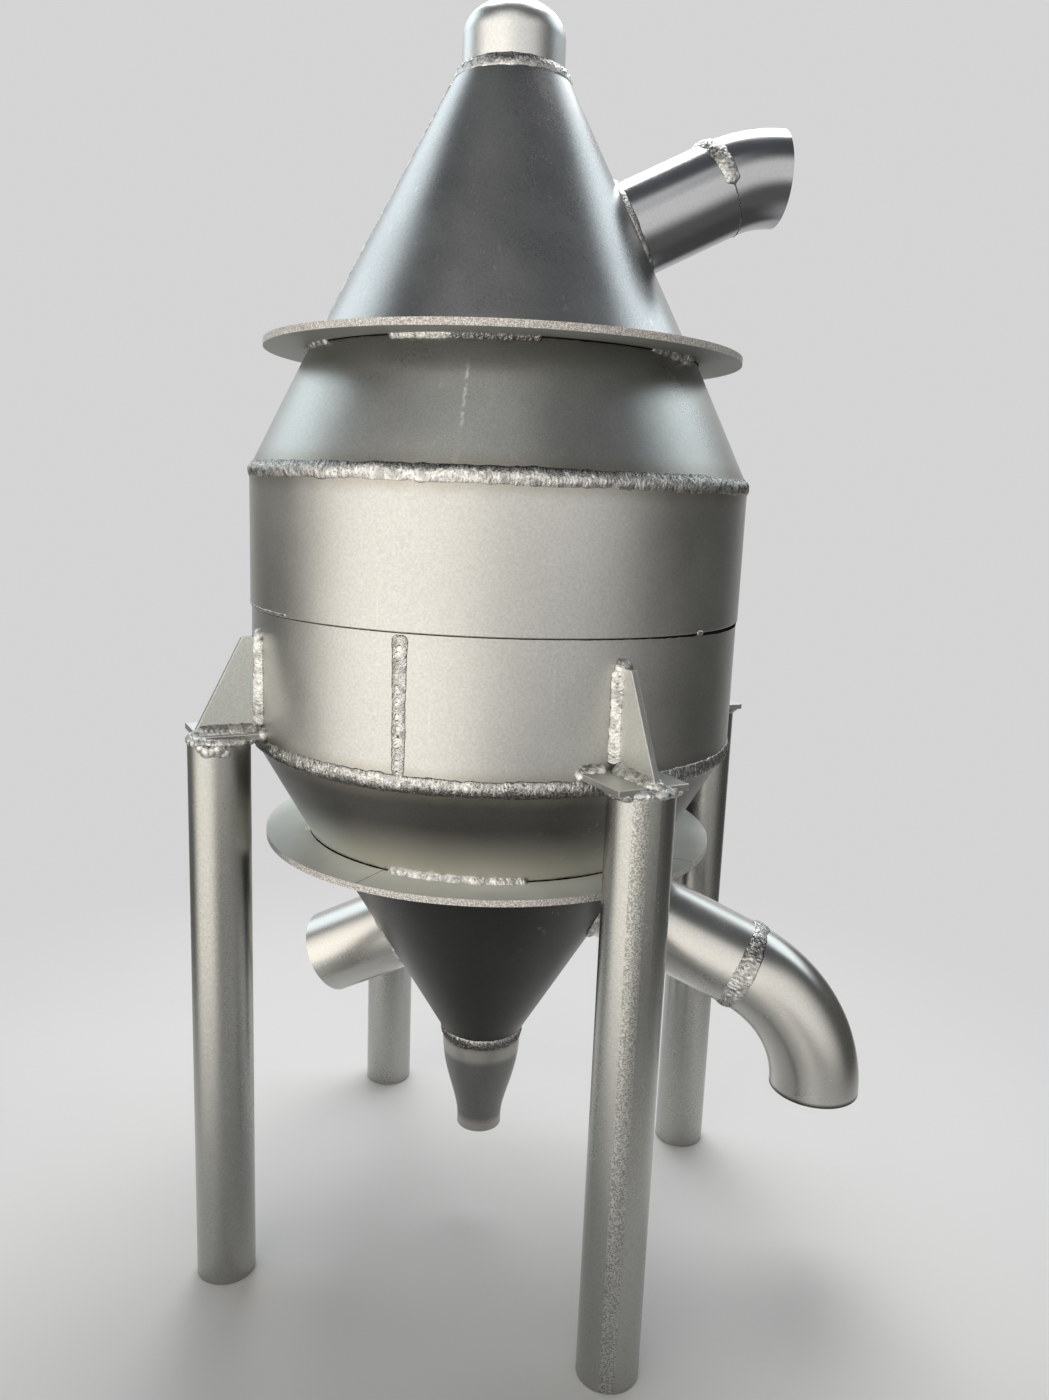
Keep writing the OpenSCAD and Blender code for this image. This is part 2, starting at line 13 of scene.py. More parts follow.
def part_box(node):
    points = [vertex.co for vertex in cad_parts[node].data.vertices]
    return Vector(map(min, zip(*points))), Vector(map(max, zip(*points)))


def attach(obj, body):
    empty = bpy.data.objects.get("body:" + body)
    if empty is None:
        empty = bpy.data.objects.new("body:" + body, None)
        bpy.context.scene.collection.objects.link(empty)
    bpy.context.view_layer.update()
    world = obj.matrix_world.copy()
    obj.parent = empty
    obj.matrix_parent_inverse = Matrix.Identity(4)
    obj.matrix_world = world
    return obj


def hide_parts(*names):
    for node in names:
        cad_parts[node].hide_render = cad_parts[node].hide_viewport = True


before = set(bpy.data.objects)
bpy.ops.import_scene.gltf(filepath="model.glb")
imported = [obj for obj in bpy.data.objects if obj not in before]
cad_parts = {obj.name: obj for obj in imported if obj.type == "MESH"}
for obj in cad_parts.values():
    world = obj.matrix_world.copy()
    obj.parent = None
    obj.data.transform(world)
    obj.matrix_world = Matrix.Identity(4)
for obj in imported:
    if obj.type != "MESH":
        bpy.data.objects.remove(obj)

LOG = logging.getLogger("cyclone")
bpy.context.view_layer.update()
TAU = 2.0 * math.pi
ROOT = "root"
CAMERA_AZIMUTH = 288.6
UP = np.array([0.0, 0.0, 1.0])
# Angles of the points round a pipe or a leg tube, and halvings that find its foot on a cone.
ROUND = np.linspace(0, TAU, 240, endpoint=False)
HALVINGS = 40
# Angle between two faces, in radians, over which their edge is sharp.
SHARP_ANGLE = 0.6

Array = np.ndarray
Colour = tuple[float, float, float]
Material = bpy.types.Material
Socket = bpy.types.NodeSocket

WHITE: Colour = (1.0, 1.0, 1.0)
# The CAD nodes that wear each finish.
COATS: dict[str, tuple[str, ...]] = {
    "cap_satin": ("top_cap",),
    "cone_graphite": ("upper_cone",),
    "shoulder_graphite": ("shoulder_cone",),
    "shell_satin": ("upper_shell", "lower_shell"),
    "hopper_satin": ("hopper_cone",),
    "lower_cone_shaded": ("lower_cone",),
    "reducer_satin": ("bottom_reducer",),
    "pipe_graphite": ("upper_pipe", "upper_elbow"),
    "pipe_satin": ("lower_pipe", "lower_elbow", "side_stub"),
    "leg_satin": ("leg_1", "leg_2", "leg_3"),
    "leg_satin_striped": ("leg_4",),
    "cut_plate": ("top_flange_ring", "bottom_flange_ring"),
}


class Side(Enum):
    """The two faces of a radial plate, as signs along its tangent."""

    LEFT = -1
    RIGHT = 1


class Corner(Enum):
    """How two sheets meet under a bead."""

    OPEN = "flat or convex"
    FILLET = "fillet"


def unit(v: Array) -> Array:
    """Return v scaled to unit length along its last axis."""
    return v / np.linalg.norm(v, axis=-1, keepdims=True)


def heading(azimuth: float) -> Array:
    """Return the level unit vector at an azimuth in degrees."""
    a = math.radians(azimuth)
    return np.array([math.cos(a), math.sin(a), 0.0])


def ease(t: Array) -> Array:
    """Return the smooth step of shares from 0 to 1."""
    return t * t * (3 - 2 * t)


def dim(colour: Colour, share: float) -> Colour:
    """Return a share of a colour."""
    return tuple(c * share for c in colour)


def smooth_noise(x: Array, rng: np.random.Generator, octaves: int = 3) -> Array:
    """Return smooth noise of about unit size along x.

    Args:
        x: Positions, in units of the longest wave.
        rng: Seeded random source.
        octaves: Number of waves, each half as long and half as strong.

    Returns:
        One value for each position.
    """
    total = np.zeros_like(x, dtype=float)
    for o in range(octaves):
        p = x * 2**o
        knots = rng.standard_normal(int(np.ceil(np.max(p))) + 3)
        i = np.floor(p).astype(int)
        t = ease(p - i)
        total += (knots[i] * (1 - t) + knots[i + 1] * t) / 2**o
    return total * 0.6


class RoundEnd:
    """One end of a round CAD node, measured on its mesh."""

    def __init__(self, node: str, top: bool) -> None:
        """Measure the upper end of the node if top is true, else the lower one."""
        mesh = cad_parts[node].data
        co = np.empty(len(mesh.vertices) * 3)
        mesh.vertices.foreach_get("co", co)
        co = co.reshape(-1, 3)
        self.z: float = float(co[:, 2].max() if top else co[:, 2].min())
        near = np.abs(co[:, 2] - self.z) < 2e-4
        self.radius: float = float(np.hypot(co[near, 0], co[near, 1]).max())


def ends(node: str) -> tuple[RoundEnd, RoundEnd]:
    """Return the lower and the upper end of a round CAD node."""
    return RoundEnd(node, False), RoundEnd(node, True)


def heights(node: str) -> tuple[float, float]:
    """Return the heights of a CAD node's underside and top."""
    low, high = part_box(node)
    return float(low[2]), float(high[2])


def put_in_scene(name: str, data: bpy.types.ID) -> bpy.types.Object:
    """Return a new object that carries data, linked to the scene."""
    obj = bpy.data.objects.new(name, data)
    bpy.context.scene.collection.objects.link(obj)
    return obj


def add_piece(name: str, mesh: bpy.types.Mesh, materials: Sequence[Material], slot: str,
              *nodes: str) -> None:
    """Put a mesh into the scene as a piece of the part.

    Args:
        name: Name of the new piece.
        mesh: Its mesh.
        materials: Its finishes, in the order of the mesh's material indices.
        slot: Material slot of the record; not used.
        *nodes: CAD nodes that it replaces.
    """
    obj = put_in_scene(name, mesh)
    for material in materials:
        mesh.materials.append(material)
    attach(obj, ROOT)
    if nodes:
        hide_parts(*nodes)
    LOG.info("%s: %d faces", name, len(mesh.polygons))


@dataclass(frozen=True)
class Shader:
    """A node tree under construction, with short calls to add and link nodes.

    Values are sockets, which are linked, or plain values, which are written.
    """

    tree: bpy.types.NodeTree

    def put(self, value: object, target: Socket) -> None:
        """Link a socket to an input, or write a plain value into it."""
        if isinstance(value, Socket):
            self.tree.links.new(value, target)
        else:
            target.default_value = value

    def fill(self, node: bpy.types.Node, **values: object) -> bpy.types.Node:
        """Set properties by name, and sockets by name with spaces as underscores."""
        for key, value in values.items():
            if hasattr(node, key):
                setattr(node, key, value)
            else:
                self.put(value, node.inputs[key.replace("_", " ")])
        return node

    def add(self, kind: str, **values: object) -> bpy.types.Node:
        """Return a new filled node; kind is Blender's name without ShaderNode."""
        return self.fill(self.tree.nodes.new("ShaderNode" + kind), **values)

    def calc(self, kind: str, operation: str, *values: object) -> bpy.types.Node:
        """Return a new math node with its inputs filled in order."""
        node = self.add(kind, operation=operation)
        for value, target in zip(values, node.inputs):
            self.put(value, target)
        return node

    def math(self, operation: str, *values: object) -> Socket:
        """Return the result of a math node."""
        return self.calc("Math", operation, *values).outputs[0]

    def times(self, a: object, b: object) -> Socket:
        """Return a product."""
        return self.math("MULTIPLY", a, b)

    def plus(self, a: object, b: object) -> Socket:
        """Return a sum."""
        return self.math("ADD", a, b)

    def apart(self, a: Socket, b: float) -> Socket:
        """Return the distance between two values."""
        return self.math("ABSOLUTE", self.math("SUBTRACT", a, b))

    def swing(self, noise: Socket, amount: float) -> Socket:
        """Return noise centred on zero and scaled."""
        return self.times(self.math("SUBTRACT", noise, 0.5), amount)

    def height(self, vector: Socket) -> Socket:
        """Return the Z part of a vector."""
        return self.add("SeparateXYZ", Vector=vector).outputs[2]

    def dot(self, vector: Socket, way: Array) -> Socket:
        """Return the dot product of a vector and a fixed direction."""
        return self.calc("VectorMath", "DOT_PRODUCT", vector, tuple(way)).outputs["Value"]

    def level(self, vector: Socket) -> Socket:
        """Return a vector laid level and brought to unit length."""
        flat = self.calc("VectorMath", "MULTIPLY", vector, (1.0, 1.0, 0.0))
        return self.calc("VectorMath", "NORMALIZE", flat.outputs[0]).outputs[0]

    def noise(self, at: Socket, scale: float, detail: float = 4.0, rough: float = 0.55) -> Socket:
        """Return the value of a noise texture read at a place."""
        return self.add("TexNoise", Vector=at, Scale=scale, Detail=detail, Roughness=rough).outputs["Fac"]

    def remap(self, value: Socket, low: float, high: float, to_low: float = 0.0, to_high: float = 1.0,
              smooth: bool = False) -> Socket:
        """Return value mapped from one range to another, and clamped."""
        node = self.add("MapRange", interpolation_type="SMOOTHSTEP" if smooth else "LINEAR")
        for v, target in zip((value, low, high, to_low, to_high), node.inputs):
            self.put(v, target)
        return node.outputs[0]

    def scale(self, colour: Socket, factor: Socket) -> Socket:
        """Return a colour multiplied by a value."""
        return self.add("VectorMath", operation="SCALE", Vector=colour, Scale=factor).outputs[0]

    def mix(self, factor: Socket, a: object, b: object) -> Socket:
        """Return a colour mixed from two sockets or colours."""
        node = self.add("Mix", data_type="RGBA", Factor=factor)
        targets = [s for s in node.inputs if s.type == "RGBA"]
        for value, target in zip((a, b), targets):
            self.put(value if isinstance(value, Socket) else (*value, 1.0), target)
        return next(s for s in node.outputs if s.type == "RGBA")


def new_material(name: str) -> tuple[Material, Shader, bpy.types.Node]:
    """Return a new material, its shader helper and its Principled node."""
    mat = bpy.data.materials.new(name)
    mat.use_nodes = True
    return mat, Shader(mat.node_tree), mat.node_tree.nodes["Principled BSDF"]


@dataclass(frozen=True)
class SatinSteel:
    """Bead-blasted or brushed steel sheet; colours are linear, lengths in metres.

    Attributes:
        dark: Tone of its clouds.
        mottle: How much of the dark tone the clouds let through.
        stretch: Scale of the clouds along the three axes.
        speckle: How much the fine grain darkens and brightens it.
        blotch: How much the widest clouds darken it.
        weld_heights: Heights of the ring welds that tinted it.
        foot_heights: Heights between which it runs to foot_tone.
        tone_bands: Middle and half height of each level band in foot_tone.
        stripe: X, Y and azimuth of the blasted stripe down a tube.
        streak: Azimuth, foot and head of the rub mark down a cone.
    """

    name: str
    colour: Colour
    dark: Colour
    roughness: float
    grain: float
    mottle: float
    scratch: float
    stretch: tuple[float, float, float] = (1.0, 1.0, 1.0)
    speckle: float = 0.14
    blotch: float = 0.12
    weld_heights: tuple[float, ...] = ()
    weld_tint: Colour = (0.30, 0.27, 0.22)
    foot_heights: tuple[float, float] | None = None
    foot_tone: Colour = WHITE
    tone_bands: tuple[tuple[float, float], ...] = ()
    stripe: tuple[float, float, float] | None = None
    streak: tuple[float, float, float] | None = None
    metallic: float = 1.0

    def material(self) -> Material:
        """Return the finished material."""
        mat, sh, bsdf = new_material(self.name)
        place = sh.add("TexCoord").outputs["Object"]
        drawn = sh.add("Mapping", Vector=place, Scale=self.stretch).outputs[0]
        cloud = sh.noise(drawn, 9.0, 5.0)
        speck = sh.noise(place, 420.0, 3.0, 0.6)
        fine = sh.noise(place, 1000.0, 2.0, 0.7)
        body = sh.mix(sh.remap(cloud, 0.3, 0.7, 1.0 - self.mottle, 1.0), self.dark, self.colour)
        grit = sh.plus(sh.times(speck, 0.6), sh.times(fine, 0.4))
        tone = sh.remap(grit, 0.36, 0.64, 1.0 - self.speckle, 1.0 + 0.6 * self.speckle)
        wide = sh.remap(sh.noise(drawn, 2.6, 2.0), 0.35, 0.65, 1.0 - self.blotch, 1.0)
        body = sh.scale(body, sh.times(tone, wide))
        for mark in (self._foot, self._bands, self._rub_mark, self._heat_tint, self._scratches):
            body = mark(sh, place, body)
        rough = sh.remap(cloud, 0.3, 0.7, self.roughness - 0.05, self.roughness + 0.05)
        if self.stripe is not None:
            mask = self._stripe_mask(sh, place)
            coarse = sh.remap(sh.noise(place, 650.0, 2.0, 0.6), 0.40, 0.60, 0.58, 1.28)
            body = sh.mix(mask, body, sh.scale(body, coarse))
            rough = sh.plus(rough, sh.times(mask, 0.12))
        rough = sh.plus(rough, sh.swing(speck, 0.04))
        bump = sh.add("Bump", Strength=self.grain, Distance=0.0006, Height=fine)
        wave = sh.add("Bump", Strength=0.25, Distance=0.004, Height=sh.noise(place, 7.0, 2.0),
                      Normal=bump.outputs[0])
        sh.fill(bsdf, Metallic=self.metallic, Specular_IOR_Level=0.5 * self.metallic, Base_Color=body,
                Roughness=rough, Normal=wave.outputs[0])
        return mat

    def _foot(self, sh: Shader, place: Socket, body: Socket) -> Socket:
        """Return body running to the foot tone between the two foot heights."""
        if self.foot_heights is None:
            return body
        return sh.mix(sh.remap(sh.height(place), *self.foot_heights, smooth=True), body, self.foot_tone)

    def _bands(self, sh: Shader, place: Socket, body: Socket) -> Socket:
        """Return body with level bands in the foot tone."""
        for middle, half in self.tone_bands:
            away = sh.apart(sh.height(place), middle)
            body = sh.mix(sh.remap(away, half * 0.25, half, 0.85, 0.0, smooth=True), body, self.foot_tone)
        return body

    def _rub_mark(self, sh: Shader, place: Socket, body: Socket) -> Socket:
        """Return body with the pale rub mark that runs down a cone."""
        if self.streak is None:
            return body
        azimuth, low, high = self.streak
        out = heading(azimuth)
        front, side = sh.dot(place, out), sh.dot(place, np.cross(UP, out))
        z = sh.height(place)
        mask = sh.remap(sh.math("ABSOLUTE", side), 0.0004, 0.0022, 0.75, 0.0)
        limits = ((front, 0.0, 0.01), (z, low, low + 0.02), (z, high, high - 0.006),
                  (sh.noise(place, 150.0, 2.0), 0.40, 0.58))
        for value, start, end in limits:
            mask = sh.times(mask, sh.remap(value, start, end))
        return sh.mix(mask, body, (0.90, 0.90, 0.88))

    def _heat_tint(self, sh: Shader, place: Socket, body: Socket) -> Socket:
        """Return body with a heat tint beside each level weld."""
        wobble = sh.swing(sh.noise(place, 35.0), 0.012)
        for z in self.weld_heights:
            away = sh.plus(sh.apart(sh.height(place), z), wobble)
            body = sh.mix(sh.remap(away, 0.006, 0.022, 0.55, 0.0, smooth=True), body, self.weld_tint)
        return body

    def _scratches(self, sh: Shader, place: Socket, body: Socket) -> Socket:
        """Return body with a few thin scratches at different slants."""
        total: object = 0.0
        for turn, scale in ((0.3, 16.0), (-0.5, 11.0), (1.2, 14.0)):
            slant = sh.add("Mapping", Vector=place, Rotation=(turn, turn * 0.6, turn),
                           Scale=(scale * 9.0, scale * 9.0, scale * 0.35))
            lines = sh.noise(slant.outputs[0], 1.0, 1.0, 0.5)
            total = sh.math("MAXIMUM", total, sh.remap(lines, 0.735, 0.76))
        patches = sh.remap(sh.noise(place, 5.0, 1.0), 0.5, 0.6)
        return sh.mix(sh.times(sh.times(total, patches), 0.35 * self.scratch), body, (0.8, 0.8, 0.78))

    def _stripe_mask(self, sh: Shader, place: Socket) -> Socket:
        """Return the mask of the blasted stripe down a tube."""
        x, y, azimuth = self.stripe
        local = sh.calc("VectorMath", "SUBTRACT", place, (x, y, 0.0)).outputs[0]
        edge, full = (math.cos(math.radians(a)) for a in (15.0, 12.5))
        return sh.remap(sh.dot(sh.level(local), heading(azimuth)), edge, full)


@dataclass(frozen=True)
class WeldMetal:
    """Rough, sparkling weld metal, darkened per point by oxidised creases and painted shade, and lightened
    by painted highlights.
    """

    name: str = "weld_metal"
    bright: Colour = (0.84, 0.825, 0.80)
    dull: Colour = (0.42, 0.415, 0.40)
    # Tone of the oxidised creases and of the painted shade.
    oxide_and_shade_tone: Colour = (0.09, 0.086, 0.08)
    roughness: float = 0.27

    def material(self) -> Material:
        """Return the finished material."""
        mat, sh, bsdf = new_material(self.name)
        place = sh.add("TexCoord").outputs["Object"]
        # Darkness per point: oxidised creases, painted shade, and painted highlights where it is low.
        oxide_and_shade = sh.add("Attribute", attribute_name="oxide_and_shade").outputs["Fac"]
        patch = sh.noise(place, 130.0, 4.0, 0.65)
        speck = sh.noise(place, 620.0, 3.0, 0.75)
        tone = sh.mix(sh.remap(patch, 0.42, 0.60), self.dull, self.bright)
        mask = sh.plus(sh.plus(oxide_and_shade, sh.swing(speck, 2.2)), sh.swing(patch, 0.8))
        mask = sh.remap(mask, 0.42, 1.10, smooth=True)
        rough = sh.remap(patch, 0.3, 0.7, self.roughness - 0.10, self.roughness + 0.14)
        bump = sh.add("Bump", Strength=0.6, Distance=0.0010, Height=sh.noise(place, 620.0, 3.0, 0.7))
        sh.fill(bsdf, Metallic=1.0, Base_Color=sh.mix(mask, tone, self.oxide_and_shade_tone), Roughness=rough,
                Normal=bump.outputs[0])
        return mat


@dataclass(frozen=True)
class CutPlate:
    """Plate with a satin face, a bright, striated edge left by the cutting torch, and painted shade on faces
    that look down.
    """

    name: str = "cut_plate"
    face: Colour = (0.72, 0.74, 0.70)
    edge: Colour = (0.88, 0.84, 0.80)
    roughness: float = 0.50
    # Share of the face tone kept on faces that look down: painted shade.
    under: float = 0.42

    def material(self) -> Material:
        """Return the finished material."""
        mat, sh, bsdf = new_material(self.name)
        coords = sh.add("TexCoord")
        place, up = coords.outputs["Object"], sh.height(coords.outputs["Normal"])
        rim = sh.remap(sh.math("ABSOLUTE", up), 0.3, 0.8, 1.0, 0.0)
        cloud = sh.noise(place, 14.0, 5.0)
        grit = sh.noise(place, 700.0, 3.0, 0.7)
        tone = sh.mix(sh.remap(cloud, 0.3, 0.7), dim(self.face, 0.8), self.face)
        # Faces that look down are darker: painted shade under the plate.
        tone = sh.scale(tone, sh.remap(up, -0.8, -0.2, self.under, 1.0))
        edge = sh.mix(sh.remap(grit, 0.4, 0.65), dim(self.edge, 0.35), self.edge)
        rough = sh.plus(sh.remap(cloud, 0.3, 0.7, self.roughness - 0.06, self.roughness + 0.06),
                        sh.times(rim, -0.06))
        bump = sh.add("Bump", Strength=sh.plus(sh.times(rim, 0.7), 0.12), Distance=0.0009, Height=grit)
        sh.fill(bsdf, Metallic=0.4, Base_Color=sh.mix(rim, tone, edge), Roughness=rough,
                Normal=bump.outputs[0])
        return mat


@dataclass(frozen=True)
class BeadLook:
    """Sizes of a weld bead, in metres.

    Attributes:
        width: Distance between its two toes.
        crown: Height over the line between the toes.
        pitch: Distance between ripples.
        ripple: Height of a ripple.
        wander: Share by which width and crown vary along it.
        rough: Height of the small random lumps.
        corner: How the two sheets meet under it.
        slope: Rise of the sheets per unit of distance from the corner; below 0 they fall.
        bow: How far a ripple's middle runs ahead of its ends, in pitches.
        skew: How far one end of a ripple runs ahead of the middle, in pitches.
        shade: Painted shade towards its two toes; a value below 0 paints a highlight there.
        grain: Height of the crystalline lumps.
        crease: How dark the creases between ripples are: oxidised metal and painted shade.
        tarnish: How dark the whole bead is.
    """

    width: float
    crown: float
    pitch: float = 0.0034
    ripple: float = 0.0005
    wander: float = 0.12
    rough: float = 0.0002
    corner: Corner = Corner.OPEN
    slope: float = 0.0
    bow: float = 1.1
    skew: float = 0.4
    shade: tuple[float, float] = (0.35, 0.35)
    grain: float = 0.0
    crease: float = 0.65
    tarnish: float = 0.0


def fillet(width: float, crown: float, slope: float, **sizes: object) -> BeadLook:
    """Return the look of a bead in the corner between two sheets."""
    return BeadLook(width, crown, corner=Corner.FILLET, slope=slope, **sizes)


def line_look(width: float, wander: float, **sizes: object) -> BeadLook:
    """Return the look of a flat, smooth line, for a dark joint and for painted shade in a gap."""
    return BeadLook(width, 0.0001, 0.01, 0.0, wander, 0.0, **sizes)


@dataclass
class BeadPath:
    """A line along which a bead is laid.

    Attributes:
        points: Places on the joint, one row each.
        normals: Unit vectors out of the joint, one row each.
        closed: Whether the line is a loop.
        swell: Factor on width and crown for each point, or None.
        tarnish: Darkness added at each point, or None.
    """

    points: Array
    normals: Array
    closed: bool = False
    swell: Array | None = None
    tarnish: Array | None = None

    def resampled(self, step: float) -> "BeadPath":
        """Return the same path with points about one step apart."""
        count = len(self.points)
        swell = np.ones(count) if self.swell is None else self.swell
        tarnish = np.zeros(count) if self.tarnish is None else self.tarnish
        table = np.column_stack([self.points, self.normals, swell, tarnish])
        if self.closed:
            table = np.vstack([table, table[:1]])
        s = np.concatenate([[0], np.cumsum(np.linalg.norm(np.diff(table[:, :3], axis=0), axis=1))])
        at = np.linspace(0, s[-1], max(int(round(s[-1] / step)), 4), endpoint=not self.closed)
        new = np.stack([np.interp(at, s, column) for column in table.T], axis=1)
        return BeadPath(new[:, :3], unit(new[:, 3:6]), self.closed, new[:, 6], new[:, 7])


# Wave lengths in metres by which a bead's size, lean and ripples wander along it.
SIZE_WAVE, KNOT_WAVE, LEAN_WAVE = 0.02, 0.005, 0.03
PITCH_WAVE, SKEW_WAVE, RIPPLE_WAVE = 0.007, 0.012, 0.008
# Limits of the factor by which the width and the crown of a bead swell.
THINNEST, WIDEST, HIGHEST = 0.12, 2.2, 1.8
# Shares of a ripple taken by its steep side and by the dark crease.
STEEP, CREASE = 0.2, 0.13
# Darkness taken off per metre of crystalline lump, a painted highlight on the raised lumps and painted shade
# between them.
GRIT_LIGHT = 700.0


@dataclass
class BeadMesh:
    """Collects weld beads and blobs, and makes one mesh piece of them.

    Attributes:
        seed: Seed of the random source.
        step: Distance between the rows of points along a bead.
        across: Number of points from toe to toe.
        toe_sink: How far the toes reach into the sheet.
        root: How far the underside lies below the corner.
    """

    seed: int
    step: float = 0.0007
    across: int = 15
    toe_sink: float = 0.0004
    root: float = 0.0010
    _verts: list[Array] = field(default_factory=list)
    _oxide_and_shade: list[Array] = field(default_factory=list)
    _faces: list[tuple[int, ...]] = field(default_factory=list)
    _count: int = 0

    def __post_init__(self) -> None:
        """Seed the random source."""
        self.rng = np.random.default_rng(self.seed)

    def bead(self, path: BeadPath, look: BeadLook) -> "BeadMesh":
        """Add a bead.

        Args:
            path: Line along the joint.
            look: Sizes of the bead.

        Returns:
            This collector, so calls can follow each other.
        """
        p = path.resampled(self.step)
        n, m = len(p.points), self.across
        s, u = np.arange(n) * self.step, np.linspace(-1, 1, m)
        swell, fade = self._swell(p, look, s)
        half = look.width / 2 * np.clip(swell, THINNEST, WIDEST) * (0.35 + 0.65 * fade)
        high = look.crown * np.clip(swell, THINNEST, HIGHEST) * fade
        lean = 0.18 * smooth_noise(s / LEAN_WAVE + 5, self.rng)
        x = half[:, None] * (u + lean[:, None] * (1 - u**2))
        saw = self._saw(look, s, u)
        ridge = np.where(saw < STEEP, saw / STEEP, 1 - (saw - STEEP))
        crease = np.exp(-((np.minimum(saw, 1 - saw) / CREASE) ** 2))
        dome = (1 - u**2) ** 1.15
        grit = self._grit(n, m)
        lumps = (look.rough * self.rng.standard_normal((n, m)) + look.grain * grit) * np.sqrt(dome)
        strength = np.minimum(1.0, high / look.crown)
        scale = look.ripple * strength * (1 + 0.6 * smooth_noise(s / RIPPLE_WAVE + 2, self.rng))
        rise = np.ones(m) if look.corner is Corner.FILLET else u**2
        h = (look.slope * half[:, None] * rise + high[:, None] * dome
             + scale[:, None] * (ridge - 0.6) * dome + lumps)
        h[:, [0, -1]] -= self.toe_sink
        # Darkness across the bead: painted shade towards the toes, a thin painted dark line along both toes,
        # and oxidised creases in painted shade.
        oxide_and_shade = (look.shade[0] * ((1 - u) / 2) ** 2 + look.shade[1] * ((1 + u) / 2) ** 2
                + 0.12 * np.abs(u) ** 6 + look.crease * crease)
        # Then the bead's extra darkness, and a painted highlight on the raised lumps.
        oxide_and_shade = oxide_and_shade + look.tarnish + p.tarnish[:, None] - GRIT_LIGHT * look.grain * grit
        along = np.roll(p.points, -1, 0) - np.roll(p.points, 1, 0)
        if not p.closed:
            along[0], along[-1] = p.points[1] - p.points[0], p.points[-1] - p.points[-2]
        side = unit(np.cross(along, p.normals))
        deep = min(0.0, look.slope) * half - self.root
        under = p.points + deep[:, None] * p.normals
        top = (p.points[:, None, :] + x[:, :, None] * side[:, None, :]
               + h[:, :, None] * p.normals[:, None, :])
        rows = np.concatenate([top, under[:, None, :]], axis=1)
        self._loft(rows, np.concatenate([oxide_and_shade, np.ones((n, 1))], axis=1), p.closed)
        return self

    def _swell(self, p: BeadPath, look: BeadLook, s: Array) -> tuple[Array, Array]:
        """Return the factor on the bead's size along it, and how it fades out at open ends."""
        swell = 1 + look.wander * (0.6 * smooth_noise(s / SIZE_WAVE, self.rng)
                                   + 0.6 * smooth_noise(s / KNOT_WAVE + 3, self.rng, 1))
        if p.closed:
            fade = np.ones(len(s))
            k = min(len(s) // 4, 40)
            w = np.linspace(0, 1, k)
            swell[-k:] = swell[-k:] * (1 - w) + swell[0] * w
        else:
            tip = np.minimum(s, s[-1] - s) / (look.width * 0.45)
            fade = np.sqrt(np.clip(1 - (1 - np.clip(tip, 0, 1)) ** 2, 0.02, 1))
        return swell * p.swell, fade

    def _saw(self, look: BeadLook, s: Array, u: Array) -> Array:
        """Return how far each point lies between two ripples, from 0 to 1."""
        phase = s[:, None] / look.pitch + look.bow * u**2
        phase = phase + 0.45 * smooth_noise(s / PITCH_WAVE, self.rng)[:, None]
        phase = phase + look.skew * u * (1 + 1.2 * smooth_noise(s / SKEW_WAVE + 7, self.rng))[:, None]
        return phase - np.floor(phase)

    def _grit(self, n: int, m: int) -> Array:
        """Return smooth random lumps, two steps by two columns wide, over a bead's skin."""
        knots = self.rng.standard_normal((n // 2 + 3, m // 2 + 3))
        i, j = np.arange(n) / 2, np.arange(m) / 2
        a, b = i.astype(int), j.astype(int)
        u, v = ease(i - a)[:, None], ease(j - b)[None, :]
        low = knots[a][:, b] * (1 - u) + knots[a + 1][:, b] * u
        high = knots[a][:, b + 1] * (1 - u) + knots[a + 1][:, b + 1] * u
        return low * (1 - v) + high * v

    def _loft(self, rows: Array, oxide_and_shade: Array, closed: bool) -> None:
        """Join rows of section points into a closed skin."""
        n, m = rows.shape[:2]
        first = self._count
        self._verts.append(rows.reshape(-1, 3))
        self._oxide_and_shade.append(np.clip(oxide_and_shade, 0, 1).reshape(-1))
        self._count += n * m
        for i in range(n if closed else n - 1):
            a, b = first + i * m, first + ((i + 1) % n) * m
            for j in range(m):
                k = (j + 1) % m
                self._faces.append((a + j, a + k, b + k, b + j))
        if not closed:
            self._faces.append(tuple(first + j for j in reversed(range(m))))
            self._faces.append(tuple(first + (n - 1) * m + j for j in range(m)))

    def blob(self, centre: Array, normal: Array, radius: float, squash: float) -> None:
        """Add a rounded lump of weld metal.

        Args:
            centre: Its middle, on the surface.
            normal: Direction out of the surface.
            radius: Its radius in metres.
            squash: Height over radius.
        """
        n = unit(normal)
        a = unit(np.cross(n, [0.31, 0.52, 0.79]))
        b = np.cross(n, a)
        lat, lon, cap = 9, 16, 0.12
        th = np.linspace(cap, math.pi - cap, lat)[:, None]
        ph = np.linspace(0, TAU, lon, endpoint=False)
        bump = 1 + 0.10 * self.rng.standard_normal((lat, lon))
        r = radius * ((bump + np.roll(bump, 1, 1) + np.roll(bump, -1, 1)) / 3)
        rows = (centre + (r * np.sin(th) * np.cos(ph))[:, :, None] * a
                + (r * np.sin(th) * np.sin(ph))[:, :, None] * b
                + (r * squash * np.cos(th))[:, :, None] * n)
        # Darker towards the underside and lighter on top: painted shade and painted highlight.
        self._loft(rows, (0.30 - np.cos(th) * 0.6) * np.ones(lon), False)

    def piece(self, name: str, material: Material, *nodes: str, slot: str = "weld") -> None:
        """Make the piece that stands for CAD nodes, with its darkness as an attribute."""
        mesh = bpy.data.meshes.new(name)
        mesh.from_pydata(np.concatenate(self._verts).tolist(), [], self._faces)
        oxide_and_shade = np.concatenate(self._oxide_and_shade).astype(np.float32)
        mesh.attributes.new("oxide_and_shade", "FLOAT", "POINT").data.foreach_set("value", oxide_and_shade)
        mesh.polygons.foreach_set("use_smooth", [True] * len(mesh.polygons))
        mesh.update()
        add_piece(name, mesh, (material,), slot, *nodes)


